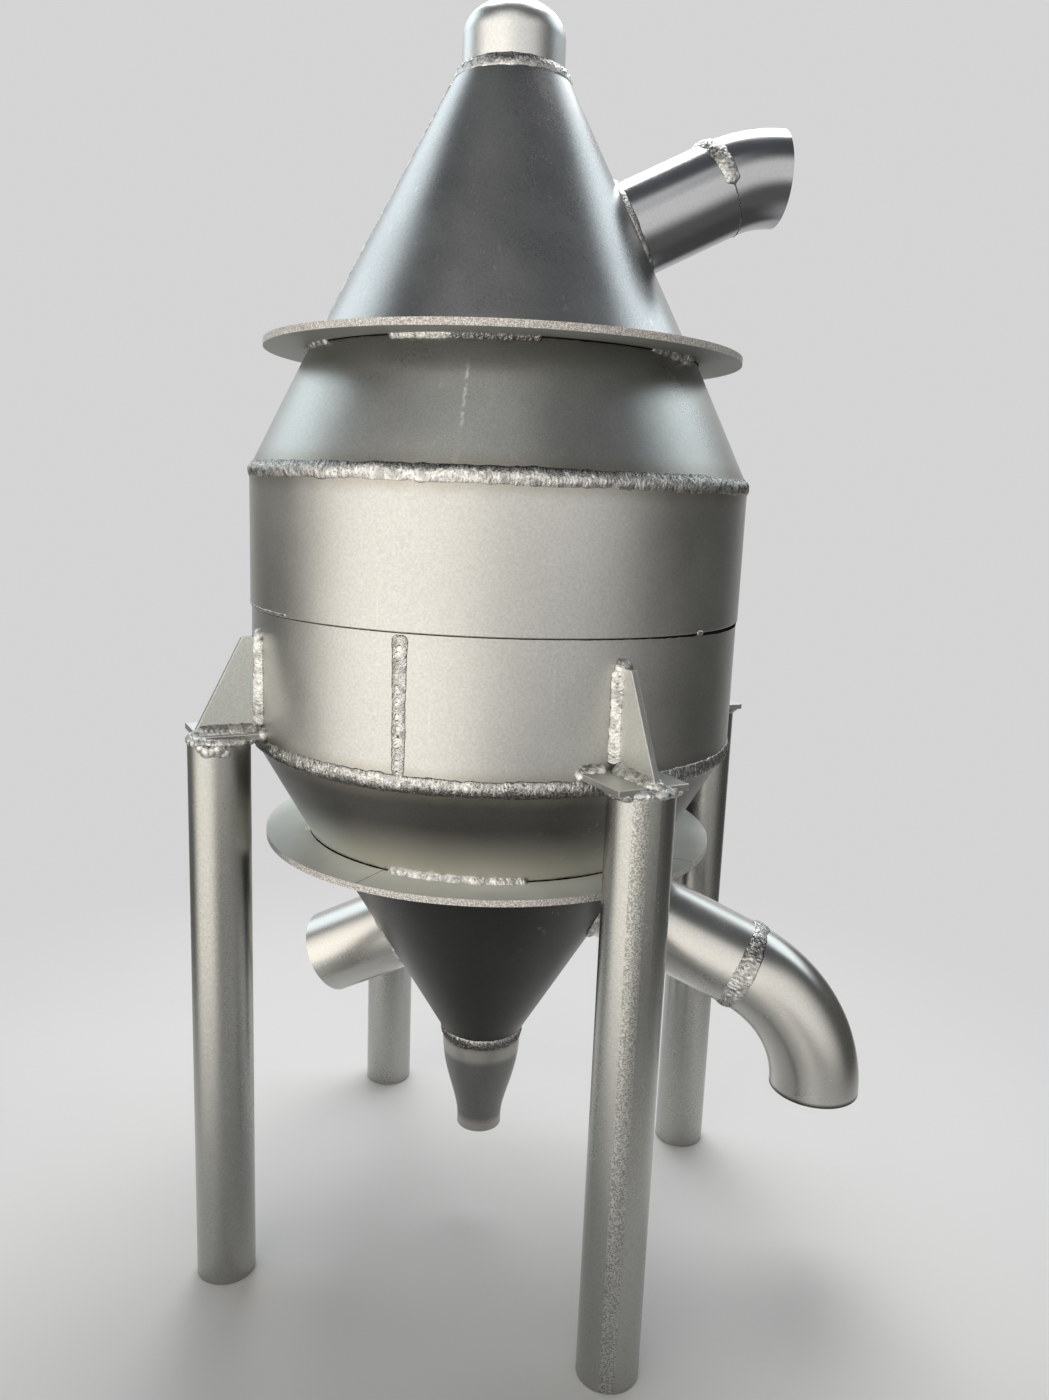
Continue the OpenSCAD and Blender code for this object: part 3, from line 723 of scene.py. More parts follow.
def ring_path(radius: float, z: float, tilt: float = 0.0, start: float = 0.0,
              span: float = 360.0) -> BeadPath:
    """Return a level ring or arc about the vessel axis.

    Args:
        radius: Its radius in metres.
        z: Its height.
        tilt: Lift of the outward normal over the horizon, in degrees.
        start: First azimuth in degrees.
        span: Angle that it covers; 360 is a closed ring.

    Returns:
        The path.
    """
    closed = span >= 360.0
    az = np.radians(np.linspace(start, start + span, max(int(span * 2), 8), endpoint=not closed))
    out = np.stack([np.cos(az), np.sin(az), np.zeros_like(az)], axis=1)
    t = math.radians(tilt)
    return BeadPath(out * radius + UP * z, out * math.cos(t) + UP * math.sin(t), closed)


def line_path(start: Array, end: Array, normal: Array) -> BeadPath:
    """Return a straight path with one normal all along it."""
    t = np.linspace(0, 1, 12)[:, None]
    return BeadPath(start * (1 - t) + end * t, np.tile(unit(normal), (12, 1)))


@dataclass(frozen=True)
class Branch:
    """A branch pipe: its centre line and its size, as in the CAD source.

    Attributes:
        azimuth: Direction in degrees.
        rise: Climb of its centre line in degrees.
        axis_z: Height at which its centre line crosses the vessel axis, in metres.
        run: Distance along the centre line from there to the elbow.
        radius: Its outer radius.
    """

    azimuth: float
    rise: float
    axis_z: float
    run: float
    radius: float = 0.0476

    def ring(self) -> tuple[Array, Array]:
        """Return the unit vector along the pipe, and those round it from its underside on."""
        e = math.radians(self.rise)
        out = heading(self.azimuth)
        along = out * math.cos(e) + UP * math.sin(e)
        down = out * math.sin(e) - UP * math.cos(e)
        t = ROUND[:, None]
        return along, np.cos(t) * down + np.sin(t) * np.cross(along, down)

    def saddle(self, low: RoundEnd, high: RoundEnd) -> BeadPath:
        """Return the curve where the pipe meets a cone.

        Args:
            low: Lower end of the cone.
            high: Upper end of the cone.

        Returns:
            The closed curve with its normals half-way between pipe and cone.
        """
        along, ring = self.ring()
        slope = (high.radius - low.radius) / (high.z - low.z)
        near, far = np.zeros((len(ring), 1)), np.full((len(ring), 1), self.run)
        for _ in range(HALVINGS):
            mid = (near + far) / 2
            p = UP * self.axis_z + mid * along + self.radius * ring
            outside = np.hypot(p[:, :1], p[:, 1:2]) > low.radius + slope * (p[:, 2:3] - low.z)
            near, far = np.where(outside, near, mid), np.where(outside, mid, far)
        out = unit(p * (1.0, 1.0, 0.0))
        return BeadPath(p, unit(unit(out - UP * slope) + ring), True)

    def joint(self, swell: Array, tarnish: Array) -> BeadPath:
        """Return the ring at the elbow joint, with its swell and darkness from the underside on."""
        along, ring = self.ring()
        return BeadPath(UP * self.axis_z + self.run * along + self.radius * ring, ring, True, swell, tarnish)


@dataclass
class Dresser:
    """Gives the CAD nodes their finishes."""

    finishes: dict[str, Material]

    def dress(self, material: str, nodes: Sequence[str]) -> None:
        """Assign a finish to every material slot of each node."""
        for node in nodes:
            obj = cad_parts[node]
            if not obj.material_slots:
                obj.data.materials.append(self.finishes[material])
            for slot in obj.material_slots:
                slot.material = self.finishes[material]
            LOG.info("%s: %s", node, material)


@dataclass
class VesselWelds:
    """The level and long welds of the vessel, and the line of the open seam.

    Attributes:
        shell_seams: Node, azimuth, distances from the course's foot and head, and seed.
        flange_tilts: Lift of the stitches' normals at the upper and the lower flange.
        top_stitches: First azimuth of each stitch and the angle that it covers.
    """

    metal: Material
    # Finish of the dark radial joints and of the painted shade in the open seam and the flange gaps.
    joint_and_gap_shade: Material
    cap_weld_radius: float = 0.0551
    cap_weld_z: float = 1.2258
    neck_drop: float = 0.0030
    shell_seams: tuple[tuple[str, float, float, float, int], ...] = (
        ("lower_shell", 270.0, 0.0075, 0.002, 15), ("upper_shell", 98.0, 0.003, 0.0075, 16))
    cone_seam_azimuth: float = 206.0
    cone_seam_span: tuple[float, float] = (0.02, 0.955)
    flange_tilts: tuple[float, float] = (-31.0, 30.0)
    top_stitches: tuple[tuple[float, float], ...] = (
        (258, 40), (331, 20), (27, 30), (87, 30), (147, 30), (203, 30))
    bottom_stitches: tuple[tuple[float, float], ...] = (
        (260, 40), (211, 4), (343, 8), (57, 30), (147, 30))
    tacks: tuple[float, ...] = (336.6, 61.0, 151.0)
    tack_half: float = 1.1
    line_lift: float = 0.0002
    lip_rise: float = 0.0026
    lip_arc: tuple[float, float] = (196.0, 44.0)
    flange_joint_azimuth: float = 78.4
    flange_radius: float = 0.2415
    shoulder_look: BeadLook = BeadLook(0.0170, 0.0013, 0.0029, 0.0002, slope=-0.26, bow=0.9, skew=0.9,
                                       shade=(1.0, 0.5), grain=0.0002, crease=0.2)
    belly_look: BeadLook = BeadLook(0.0185, 0.0015, 0.0029, 0.0002, slope=-0.26, bow=0.9, skew=1.0,
                                    shade=(0.30, 1.20), grain=0.00022, crease=0.2, tarnish=0.27)
    cap_look: BeadLook = BeadLook(0.0166, 0.0021, wander=0.10, rough=0.0003, shade=(0.75, 0.05))
    # A dark bead with a painted highlight along its upper toe.
    neck_look: BeadLook = fillet(0.0150, 0.0016, 0.05, ripple=0.0004, wander=0.10, rough=0.0003,
                                 shade=(-1.6, 0.3), grain=0.0002, crease=0.2, tarnish=1.6)
    seam_look: BeadLook = BeadLook(0.0145, 0.0021, 0.0050, 0.0015, 0.09, 0.0001, bow=2.1, skew=0.1,
                                   shade=(0.45, 0.25), crease=1.0)
    cone_seam_look: BeadLook = BeadLook(0.007, 0.0016, ripple=0.0006, rough=0.0001)
    stitch_look: BeadLook = fillet(0.0095, 0.0011, 0.75, wander=0.16, grain=0.0002)
    fringe_look: BeadLook = fillet(0.0095, 0.0014, 0.75, pitch=0.0030, ripple=0.0011, wander=0.30,
                                   rough=0.0003, crease=0.9)
    bottom_look: BeadLook = fillet(0.0125, 0.0015, 0.75, pitch=0.0036, ripple=0.0006, wander=0.18,
                                   shade=(0.15, 0.2), grain=0.0003, crease=0.3)
    tack_look: BeadLook = BeadLook(0.0050, 0.0008, 0.003, 0.0003, 0.1, 0.0001)
    lip_look: BeadLook = BeadLook(0.0022, 0.0004, 0.004, 0.0, 0.3, 0.0001)
    # Lines of painted shade in the open seam and the flange gaps, and the dark radial joints.
    crack_look: BeadLook = line_look(0.0042, 0.2)
    joint_look: BeadLook = line_look(0.0011, 0.3)
    gap_look: BeadLook = line_look(0.0034, 0.2, corner=Corner.FILLET, slope=0.6)

    def build(self) -> None:
        """Lay every bead of the vessel."""
        self._rings()
        self._shell_seams()
        self._cone_seam()
        self._top_stitches()
        self._bottom_stitches()
        self._open_seam()
        self._flange_lines()

    def _rings(self) -> None:
        """Lay the rings at the shoulder, the belly, the cap and the reducer."""
        shoulder, belly = RoundEnd("upper_shell", True), RoundEnd("lower_shell", False)
        neck = RoundEnd("bottom_reducer", True)
        jobs = (("shoulder_weld", 11, ring_path(shoulder.radius, shoulder.z, 13.0), self.shoulder_look),
                ("belly_weld", 12, ring_path(belly.radius, belly.z, -14.6), self.belly_look),
                ("cap_weld", 13, ring_path(self.cap_weld_radius, self.cap_weld_z, 30.5), self.cap_look),
                ("reducer_weld", 14, ring_path(neck.radius, neck.z - self.neck_drop, -6.0), self.neck_look))
        for node, seed, path, look in jobs:
            BeadMesh(seed).bead(path, look).piece(f"{node}_bead", self.metal, node)

    def _shell_seams(self) -> None:
        """Lay the long seams of both shell courses, which widen towards their heads."""
        for node, azimuth, foot, head, seed in self.shell_seams:
            low, high = ends(node)
            out = heading(azimuth)
            face = out * max(low.radius, high.radius)
            path = line_path(face + UP * (low.z + foot), face + UP * (high.z - head), out)
            path.swell = 0.95 + 0.3 * np.linspace(0, 1, len(path.points)) ** 6
            BeadMesh(seed).bead(path, self.seam_look).piece(
                f"{node}_seam_bead", self.metal, f"{node}_seam_weld")

    def _cone_seam(self) -> None:
        """Lay the long seam of the upper cone."""
        low, high = ends("upper_cone")
        out = heading(self.cone_seam_azimuth)
        start = out * low.radius + UP * low.z
        step = out * high.radius + UP * high.z - start
        normal = unit(out * (high.z - low.z) + UP * (low.radius - high.radius))
        path = line_path(*(start + step * share for share in self.cone_seam_span), normal)
        BeadMesh(17).bead(path, self.cone_seam_look).piece(
            "cone_seam_bead", self.metal, "upper_cone_seam_weld")

    def _top_stitches(self) -> None:
        """Lay the stitches under the upper flange; the first darkens, the second is a rough fringe."""
        top = RoundEnd("shoulder_cone", True)
        beads = BeadMesh(18)
        for number, (start, span) in enumerate(self.top_stitches):
            path = ring_path(top.radius, top.z, self.flange_tilts[0], start, span)
            along = np.linspace(0, 1, len(path.points))
            if number == 0:
                path.tarnish = 0.7 / (1 + np.exp(-(along - 0.42) * 60))
            elif number == 1:
                path.swell = 0.7 + 1.2 * along
            beads.bead(path, self.fringe_look if number == 1 else self.stitch_look)
        beads.piece("top_flange_stitch_beads", self.metal, "top_flange_stitch_welds")

    def _bottom_stitches(self) -> None:
        """Lay the stitches over the lower flange."""
        low = RoundEnd("hopper_cone", False)
        beads = BeadMesh(19)
        for start, span in self.bottom_stitches:
            beads.bead(ring_path(low.radius, low.z, self.flange_tilts[1], start, span), self.bottom_look)
        beads.piece("bottom_flange_stitch_beads", self.metal, "bottom_flange_stitch_welds")

    def _open_seam(self) -> None:
        """Lay the tacks on the open seam, its dark line, painted shade in the gap, and the bright lip over
        it, a painted highlight.
        """
        z, radius = RoundEnd("upper_shell", False).z, RoundEnd("upper_shell", True).radius
        beads = BeadMesh(20, step=0.0006)
        for azimuth in self.tacks:
            arc = ring_path(radius, z, 0.0, azimuth - self.tack_half, 2 * self.tack_half)
            beads.bead(arc, self.tack_look)
        beads.piece("seam_tack_beads", self.metal, "seam_tacks")
        line = ring_path(float(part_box("lower_shell")[1][0]) + self.line_lift, z)
        azimuths = np.linspace(0, 360, len(line.points), endpoint=False)
        line.swell = np.interp(azimuths, (0, 20, 60, 200, 250, 300, 320, 342, 360),
                               (2.1, 2.1, 0.65, 0.2, 0.25, 0.55, 0.95, 1.7, 2.1))
        BeadMesh(21, step=0.002, across=5).bead(line, self.crack_look).piece(
            "open_seam_line", self.joint_and_gap_shade, slot="shell_sheet")
        # A bright bead along the flared edge over the seam: painted highlight.
        lip = ring_path(radius, z + self.lip_rise, 0.0, *self.lip_arc)
        BeadMesh(23, across=7).bead(lip, self.lip_look).piece("seam_lip", self.metal)

    def _flange_lines(self) -> None:
        """Lay the dark radial joints of the lower flange and the painted shade in the gaps at both flanges.
        """
        top, low = RoundEnd("shoulder_cone", True), RoundEnd("hopper_cone", False)
        face = UP * heights("bottom_flange_ring")[1]
        lines = BeadMesh(22, step=0.002, across=5)
        for turn in range(4):
            out = heading(self.flange_joint_azimuth + 90.0 * turn)
            joint = line_path(out * (low.radius + 0.001) + face, out * self.flange_radius + face, UP)
            lines.bead(joint, self.joint_look)
        lines.bead(ring_path(low.radius, low.z, self.flange_tilts[1]), self.gap_look)
        lines.bead(ring_path(top.radius, top.z, self.flange_tilts[0]), self.gap_look)
        lines.piece("flange_joint_lines", self.joint_and_gap_shade, slot="flange_plate")


@dataclass
class Reducer:
    """The spun reducer, which sweeps in from the lower cone to the outlet."""

    metal: Material
    wall: float = 0.003
    rim: float = 0.009
    lag: float = 1.35
    chamfer: float = 0.0005
    around: int = 128
    along: int = 36

    def build(self) -> None:
        """Make the reducer between the ends of its CAD node."""
        outline = self._outline()
        n = len(outline)
        turns = np.linspace(0, TAU, self.around, endpoint=False)
        verts = [(r * math.cos(a), r * math.sin(a), z) for a in turns for r, z in outline]
        faces = []
        for i in range(self.around):
            a, b = i * n, ((i + 1) % self.around) * n
            faces += [(a + j, b + j, b + (j + 1) % n, a + (j + 1) % n) for j in range(n)]
        mesh = bpy.data.meshes.new("reducer_shell")
        mesh.from_pydata(verts, [], faces)
        mesh.polygons.foreach_set("use_smooth", [True] * len(faces))
        bm = bmesh.new()
        bm.from_mesh(mesh)
        bmesh.ops.recalc_face_normals(bm, faces=bm.faces)
        for edge in bm.edges:
            edge.smooth = edge.calc_face_angle(0.0) < SHARP_ANGLE
        bm.to_mesh(mesh)
        bm.free()
        add_piece("reducer_shell", mesh, (self.metal,), "reducer", "bottom_reducer")

    def _outline(self) -> list[tuple[float, float]]:
        """Return the radii and heights round the wall's section."""
        tip, neck = ends("bottom_reducer")
        t = np.linspace(0, 1, self.along)
        radii = tip.radius + (neck.radius - tip.radius) * (1 - ease(t**self.lag))
        zs = neck.z + (tip.z + self.rim - neck.z) * t
        outer = [*zip(radii, zs), (tip.radius, tip.z + self.chamfer), (tip.radius - self.chamfer, tip.z)]
        return outer + [(tip.radius - self.wall, tip.z), *zip(radii[::-1] - self.wall, zs[::-1])]


@dataclass
class BranchWelds:
    """The welds at the feet of the branch pipes and at the elbow joints."""

    metal: Material
    upper: Branch = Branch(26.5, 27.3, 1.02815, 0.2442)
    lower: Branch = Branch(5.6, -22.9, 0.4523, 0.3131)
    stub: Branch = Branch(180.0, -28.2, 0.3806, 0.2198)
    foot_look: BeadLook = fillet(0.0085, 0.0012, 0.8, pitch=0.003, wander=0.25)
    upper_look: BeadLook = BeadLook(0.0165, 0.0022, 0.0033, wander=0.18, shade=(0.2, 0.5),
                                    grain=0.0003, crease=0.4)
    lower_look: BeadLook = BeadLook(0.0225, 0.0019, 0.0052, 0.0004, 0.16, shade=(0.15, 0.25),
                                    grain=0.0005, crease=0.2)

    def build(self) -> None:
        """Lay the saddle fillets and the joint beads."""
        for node, branch, cone, seed in (("upper_pipe_weld", self.upper, "upper_cone", 31),
                                         ("lower_pipe_weld", self.lower, "lower_cone", 32),
                                         ("side_stub_weld", self.stub, "lower_cone", 33)):
            BeadMesh(seed).bead(branch.saddle(*ends(cone)), self.foot_look).piece(
                f"{node}_bead", self.metal, node)
        for node, path, look, seed in (("upper_elbow", self._upper_joint(), self.upper_look, 34),
                                       ("lower_elbow", self._lower_joint(), self.lower_look, 35)):
            BeadMesh(seed).bead(path, look).piece(f"{node}_bead", self.metal, f"{node}_weld")

    def _upper_joint(self) -> BeadPath:
        """Return the joint ring of a bead that is full over the top and dressed thin elsewhere."""
        swell = 0.10 + 1.0 / (1 + np.exp(-(-np.cos(ROUND - 0.33) - 0.25) * 60))
        tarnish = (np.interp(swell, (0.3, 0.8), (0.9, 0.0))
                   + np.interp(np.degrees(ROUND), (188, 200, 236, 248), (0.0, 0.5, 0.5, 0.0)))
        return self.upper.joint(swell, tarnish)

    def _lower_joint(self) -> BeadPath:
        """Return the joint ring of a bead that is full nearly all round."""
        tarnish = np.interp(np.degrees(ROUND), (0, 195, 212, 232, 246, 300, 322, 345),
                            (0.2, 0.2, 0.7, 0.7, 0, 0, 0.9, 0.4))
        return self.lower.joint(0.9 + 0.2 * np.sin(3 * ROUND + 0.6), tarnish)


@dataclass(frozen=True)
class Bracket:
    """The place and the sizes of one leg bracket, in metres and degrees.

    Attributes:
        pad_shift: Shift of its pad along the shell.
        pad_reach: Distance of the pad's outer edge from the vessel axis.
        gusset_half: Half the thickness of the gusset.
        gusset_foot: Distance of the gusset's toe from the vessel axis.
    """

    number: int
    azimuth: float
    pad_shift: float = 0.0
    pad_width: float = 0.072
    pad_reach: float = 0.3175
    gusset_half: float = 0.003
    gusset_foot: float = 0.320

    @property
    def pad_sides(self) -> tuple[float, float]:
        """Return where the pad starts and ends along the shell."""
        return self.pad_shift - self.pad_width / 2, self.pad_shift + self.pad_width / 2

    def at(self, out: float, along: float, z: float) -> Array:
        """Return the point at a distance out, along the shell, and at a height."""
        o = heading(self.azimuth)
        return o * out + np.array([-o[1], o[0], 0.0]) * along + UP * z

    def way(self, out: float, along: float, up: float) -> Array:
        """Return the unit vector with these shares out, along the shell, and up."""
        return unit(self.at(out, along, up))


BRACKETS = (Bracket(1, 45.0), Bracket(2, 135.0), Bracket(3, 225.0, -0.018), Bracket(4, 315.0, -0.002))


@dataclass
class BracketPlates:
    """The pads and gussets: plates with satin faces, rough cut edges and bright rims."""

    face: Material
    cut: Material
    rim: Material
    shell_radius: float = 0.25505
    gusset_top: float = 0.273
    bevel: float = 0.0007

    def build(self) -> None:
        """Make the pad and the gusset of every bracket."""
        for b in BRACKETS:
            self._pad(b)
            self._gusset(b)

    def _pad(self, b: Bracket) -> None:
        """Make a pad, hollowed to the shell."""
        z0, z1 = heights(f"leg_pad_{b.number}")
        y0, y1 = b.pad_sides
        edge = [(math.sqrt(self.shell_radius**2 - y * y), float(y)) for y in np.linspace(y1, y0, 25)]
        outline = [(b.pad_reach, y0), (b.pad_reach, y1), *edge]
        self._plate(f"pad_plate_{b.number}", f"leg_pad_{b.number}",
                    [b.at(x, y, z0) for x, y in outline], [b.at(x, y, z1) for x, y in outline])

    def _gusset(self, b: Bracket) -> None:
        """Make a gusset, which stands on the pad and on the shell."""
        z0, z1 = heights(f"gusset_{b.number}")
        outline = ((self.shell_radius, z0), (b.gusset_foot, z0), (self.gusset_top, z1),
                   (self.shell_radius, z1))
        back, front = ([b.at(x, y, z) for x, z in outline] for y in (b.gusset_half, -b.gusset_half))
        self._plate(f"gusset_plate_{b.number}", f"gusset_{b.number}", back, front)

    def _plate(self, name: str, node: str, back: Sequence[Array], front: Sequence[Array]) -> None:
        """Make a plate between two outlines, with its edges broken.

        Args:
            name: Name of the new piece.
            node: CAD node that it replaces.
            back: Corners of its back face.
            front: The same corners on its front face.
        """
        bm = bmesh.new()
        rows = [[bm.verts.new(tuple(p)) for p in face] for face in (back, front)]
        bm.faces.new(list(reversed(rows[0])))
        bm.faces.new(rows[1])
        for i in range(len(back)):
            k = (i + 1) % len(back)
            bm.faces.new((rows[0][i], rows[0][k], rows[1][k], rows[1][i])).material_index = 1
        bmesh.ops.recalc_face_normals(bm, faces=bm.faces)
        sharp = [e for e in bm.edges if e.calc_face_angle(0.0) > SHARP_ANGLE]
        bmesh.ops.bevel(bm, geom=sharp, offset=self.bevel, segments=2, profile=0.6,
                        affect="EDGES", material=2)
        mesh = bpy.data.meshes.new(name)
        bm.to_mesh(mesh)
        bm.free()
        add_piece(name, mesh, (self.face, self.cut, self.rim), "bracket_plate", node)


@dataclass
class BracketWelds:
    """The welds of the four leg brackets.

    Attributes:
        lumps: Turn round the tube, drop and size of each lump at the head of leg 3.
    """

    metal: Material
    shell_radius: float = 0.255
    leg_circle: float = 0.2956
    leg_radius: float = 0.03015
    leg: float = 0.009
    margin: float = 0.001
    shortest: float = 0.004
    closing_inset: float = 0.0035
    lumps: tuple[tuple[float, float, float], ...] = (
        (46, 0.004, 0.0050), (56, 0.007, 0.0062), (67, 0.006, 0.0056), (78, 0.005, 0.0064),
        (88, 0.008, 0.0048))
    gusset_look: BeadLook = fillet(0.009 * 1.36, 0.0009, 0.96, pitch=0.0042, ripple=0.0009,
                                   wander=0.13, bow=0.9, shade=(0.15, 0.15))
    pad_look: BeadLook = fillet(0.009 * 1.3, 0.0012, 0.9, pitch=0.0042, ripple=0.0006, wander=0.16,
                                shade=(0.1, 0.1), crease=0.3)
    head_look: BeadLook = fillet(0.0105, 0.0012, 0.8, pitch=0.0038, ripple=0.0008, wander=0.2,
                                 rough=0.0003)

    def build(self) -> None:
        """Lay the fillets on the gussets, the pads and the leg heads."""
        (z_under, z_pad), (_, z_top) = heights("leg_pad_1"), heights("gusset_1")
        uprights, pads, heads = BeadMesh(41), BeadMesh(44), BeadMesh(42)
        for b in BRACKETS:
            self._gusset(uprights, b, z_pad, z_top)
            self._pad(pads, b, z_pad)
            self._head(heads, b, z_under)
        uprights.piece("gusset_weld_beads", self.metal, "gusset_welds")
        pads.piece("pad_weld_beads", self.metal, "leg_pad_welds")
        heads.piece("leg_head_weld_beads", self.metal, "leg_top_welds")

    def _gusset(self, beads: BeadMesh, b: Bracket, z_pad: float, z_top: float) -> None:
        """Lay the upright and level fillets on both faces of a gusset, and close their ends."""
        shell, nose = self.shell_radius, b.gusset_foot - 0.002
        for side in Side:
            y, way = b.gusset_half * side.value, float(side.value)
            beads.bead(line_path(b.at(shell, y, z_top - 0.001), b.at(shell, y, z_pad + 0.004),
                                 b.way(1, way, 0)), self.gusset_look)
            beads.bead(line_path(b.at(shell + 0.004, y, z_pad), b.at(b.gusset_foot - 0.003, y, z_pad),
                                 b.way(0, way, 1)), self.gusset_look)
        for place, way, radius, squash in (
                ((shell + 0.0015, 0, z_top), (1, 0, 0.5), 0.0088, 0.62),
                ((shell + 0.001, 0.005, z_top - 0.006), (1, 0.4, 0), 0.0066, 0.6),
                ((shell + 0.001, -0.005, z_top - 0.007), (1, -0.4, 0), 0.0066, 0.6),
                ((nose, 0.002, z_pad - 0.001), (1, 0.2, 0.3), 0.0062, 0.7),
                ((nose - 0.004, -0.005, z_pad), (0.8, -0.5, 0.6), 0.0052, 0.7)):
            beads.blob(b.at(*place), b.way(*way), radius, squash)

    def _pad(self, beads: BeadMesh, b: Bracket, z_pad: float) -> None:
        """Lay the fillets between the shell and the top of a pad, and the lumps at its corners."""
        y0, y1 = b.pad_sides
        clear = b.gusset_half + self.leg
        for start, end in ((y0 + self.margin, -clear), (clear, y1 - self.margin)):
            if end - start < self.shortest:
                continue
            ys = np.linspace(start, end, 24)
            places = [*zip(np.sqrt(self.shell_radius**2 - ys**2), ys)]
            pts = np.stack([b.at(x, y, z_pad) for x, y in places])
            nor = np.stack([b.way(x, y, 0.0) + UP for x, y in places])
            beads.bead(BeadPath(pts, unit(nor)), self.pad_look)
        for y, way in ((y0, -1.0), (y1, 1.0)):
            x = math.sqrt(self.shell_radius**2 - y * y) + 0.002
            beads.blob(b.at(x, y - way * 0.001, z_pad - 0.002), b.way(0.6, way, 0.3), 0.0058, 0.7)

    def _round_leg(self, b: Bracket, angle: float, offset: float, z: float) -> Array:
        """Return the point round a leg tube at an angle, offset from its skin."""
        radius = self.leg_radius + offset
        return b.at(self.leg_circle + radius * math.cos(angle), radius * math.sin(angle), z)

    def _head(self, beads: BeadMesh, b: Bracket, z_under: float) -> None:
        """Lay the ring under a pad, and close the tube where it stands beside the pad."""
        y0, y1 = b.pad_sides
        x = self.leg_circle + self.leg_radius * np.cos(ROUND)
        y = self.leg_radius * np.sin(ROUND)
        under = (x < b.pad_reach - self.margin) & (y > y0 + self.margin) & (y < y1 - self.margin)
        first = int(np.argmax(under & ~np.roll(under, 1)))
        order = np.roll(np.arange(len(ROUND)), -first)
        order = order[under[order]]
        pts = np.stack([b.at(x[i], y[i], z_under) for i in order])
        nor = np.stack([b.way(math.cos(a), math.sin(a), -1.0) for a in ROUND[order]])
        beads.bead(BeadPath(pts, nor), self.head_look)
        for turn, drop, size in self.lumps if b.number == 3 else ():
            a = math.radians(turn)
            beads.blob(self._round_leg(b, a, 0.002, z_under - drop),
                       b.way(math.cos(a), math.sin(a), -0.4), size, 0.55)
        for a in ROUND[::5][~under[::5]]:
            beads.blob(self._round_leg(b, a, -self.closing_inset, z_under + 0.0005),
                       b.way(math.cos(a) * 0.7, math.sin(a) * 0.7, 1.0),
                       float(beads.rng.uniform(0.0042, 0.0062)), 0.75)


@dataclass(frozen=True)
class PhotoCamera:
    """The camera, solved from the outlines in the photograph.

    Attributes:
        focal_px: Focal length in pixels of the full picture.
        picture_height: Height of the full picture in pixels.
        distance: Level distance from the vessel axis in metres.
        height: Height over the leg ends.
        turn: Azimuth of the camera's stand-off line from -Y, in radians.
        yaw: Turn of the view to the right of the axis.
        pitch: Fall of the view under the horizon.
        roll: Roll of the picture.
        sensor: Width of the sensor in millimetres.
    """

    focal_px: float = 1083.9
    picture_height: float = 1400.0
    distance: float = 1.1670
    height: float = 0.8262
    turn: float = 0.3245
    yaw: float = 0.030
    pitch: float = 0.189
    roll: float = 0.039
    sensor: float = 36.0

    def build(self) -> None:
        """Make the scene's camera."""
        spin = np.array([[math.cos(self.turn), -math.sin(self.turn), 0],
                         [math.sin(self.turn), math.cos(self.turn), 0], [0, 0, 1]])
        cy, sy, cp, sp = math.cos(self.yaw), math.sin(self.yaw), math.cos(self.pitch), math.sin(self.pitch)
        ahead = np.array([sy * cp, cy * cp, -sp])
        right = np.array([cy, -sy, 0.0])
        up = np.cross(right, ahead)
        cr, sr = math.cos(self.roll), math.sin(self.roll)
        right, up = cr * right + sr * up, -sr * right + cr * up
        right, up, ahead = spin @ right, spin @ up, spin @ ahead
        place = spin @ np.array([0.0, -self.distance, self.height])
        data = bpy.data.cameras.new("photo_camera")
        data.sensor_width = self.sensor
        data.lens = self.focal_px * self.sensor / self.picture_height
        data.clip_start, data.clip_end = 0.05, 100.0
        camera = put_in_scene("photo_camera", data)
        camera.matrix_world = Matrix(
            [[right[i], up[i], -ahead[i], place[i]] for i in range(3)] + [[0, 0, 0, 1]])
        bpy.context.scene.camera = camera


@dataclass(frozen=True)
class SkyPatch:
    """A soft-edged part of the studio's sky, as seen from the vessel.

    Attributes:
        colour: Its light, linear.
        turn: Azimuth of its middle, in degrees to the right of the camera.
        inner: Half its width at full strength, in degrees; 180 goes all round.
        outer: Half its width where it ends.
        foot: Elevations at which its lower edge starts and is full, or None.
        head: Elevations at which its upper edge fades and ends.
    """

    colour: Colour
    turn: float = 0.0
    inner: float = 180.0
    outer: float = 180.0
    foot: tuple[float, float] | None = None
    head: tuple[float, float] = (90.0, 91.0)

    def mask(self, sh: Shader, level: Socket, height: Socket) -> Socket:
        """Return how strongly the patch covers a direction.

        Args:
            sh: The world's node tree.
            level: Unit vector of the level direction.
            height: Sine of the elevation.

        Returns:
            The cover, from 0 to 1.
        """
        mask = sh.remap(height, *(math.sin(math.radians(e)) for e in self.head), 1.0, 0.0, smooth=True)
        if self.foot is not None:
            rise = sh.remap(height, *(math.sin(math.radians(e)) for e in self.foot), smooth=True)
            mask = sh.times(mask, rise)
        if self.inner < 180.0:
            edge, full = (math.cos(math.radians(a)) for a in (self.outer, self.inner))
            across = sh.dot(level, heading(CAMERA_AZIMUTH + self.turn))
            mask = sh.times(mask, sh.remap(across, edge, full, smooth=True))
        return mask


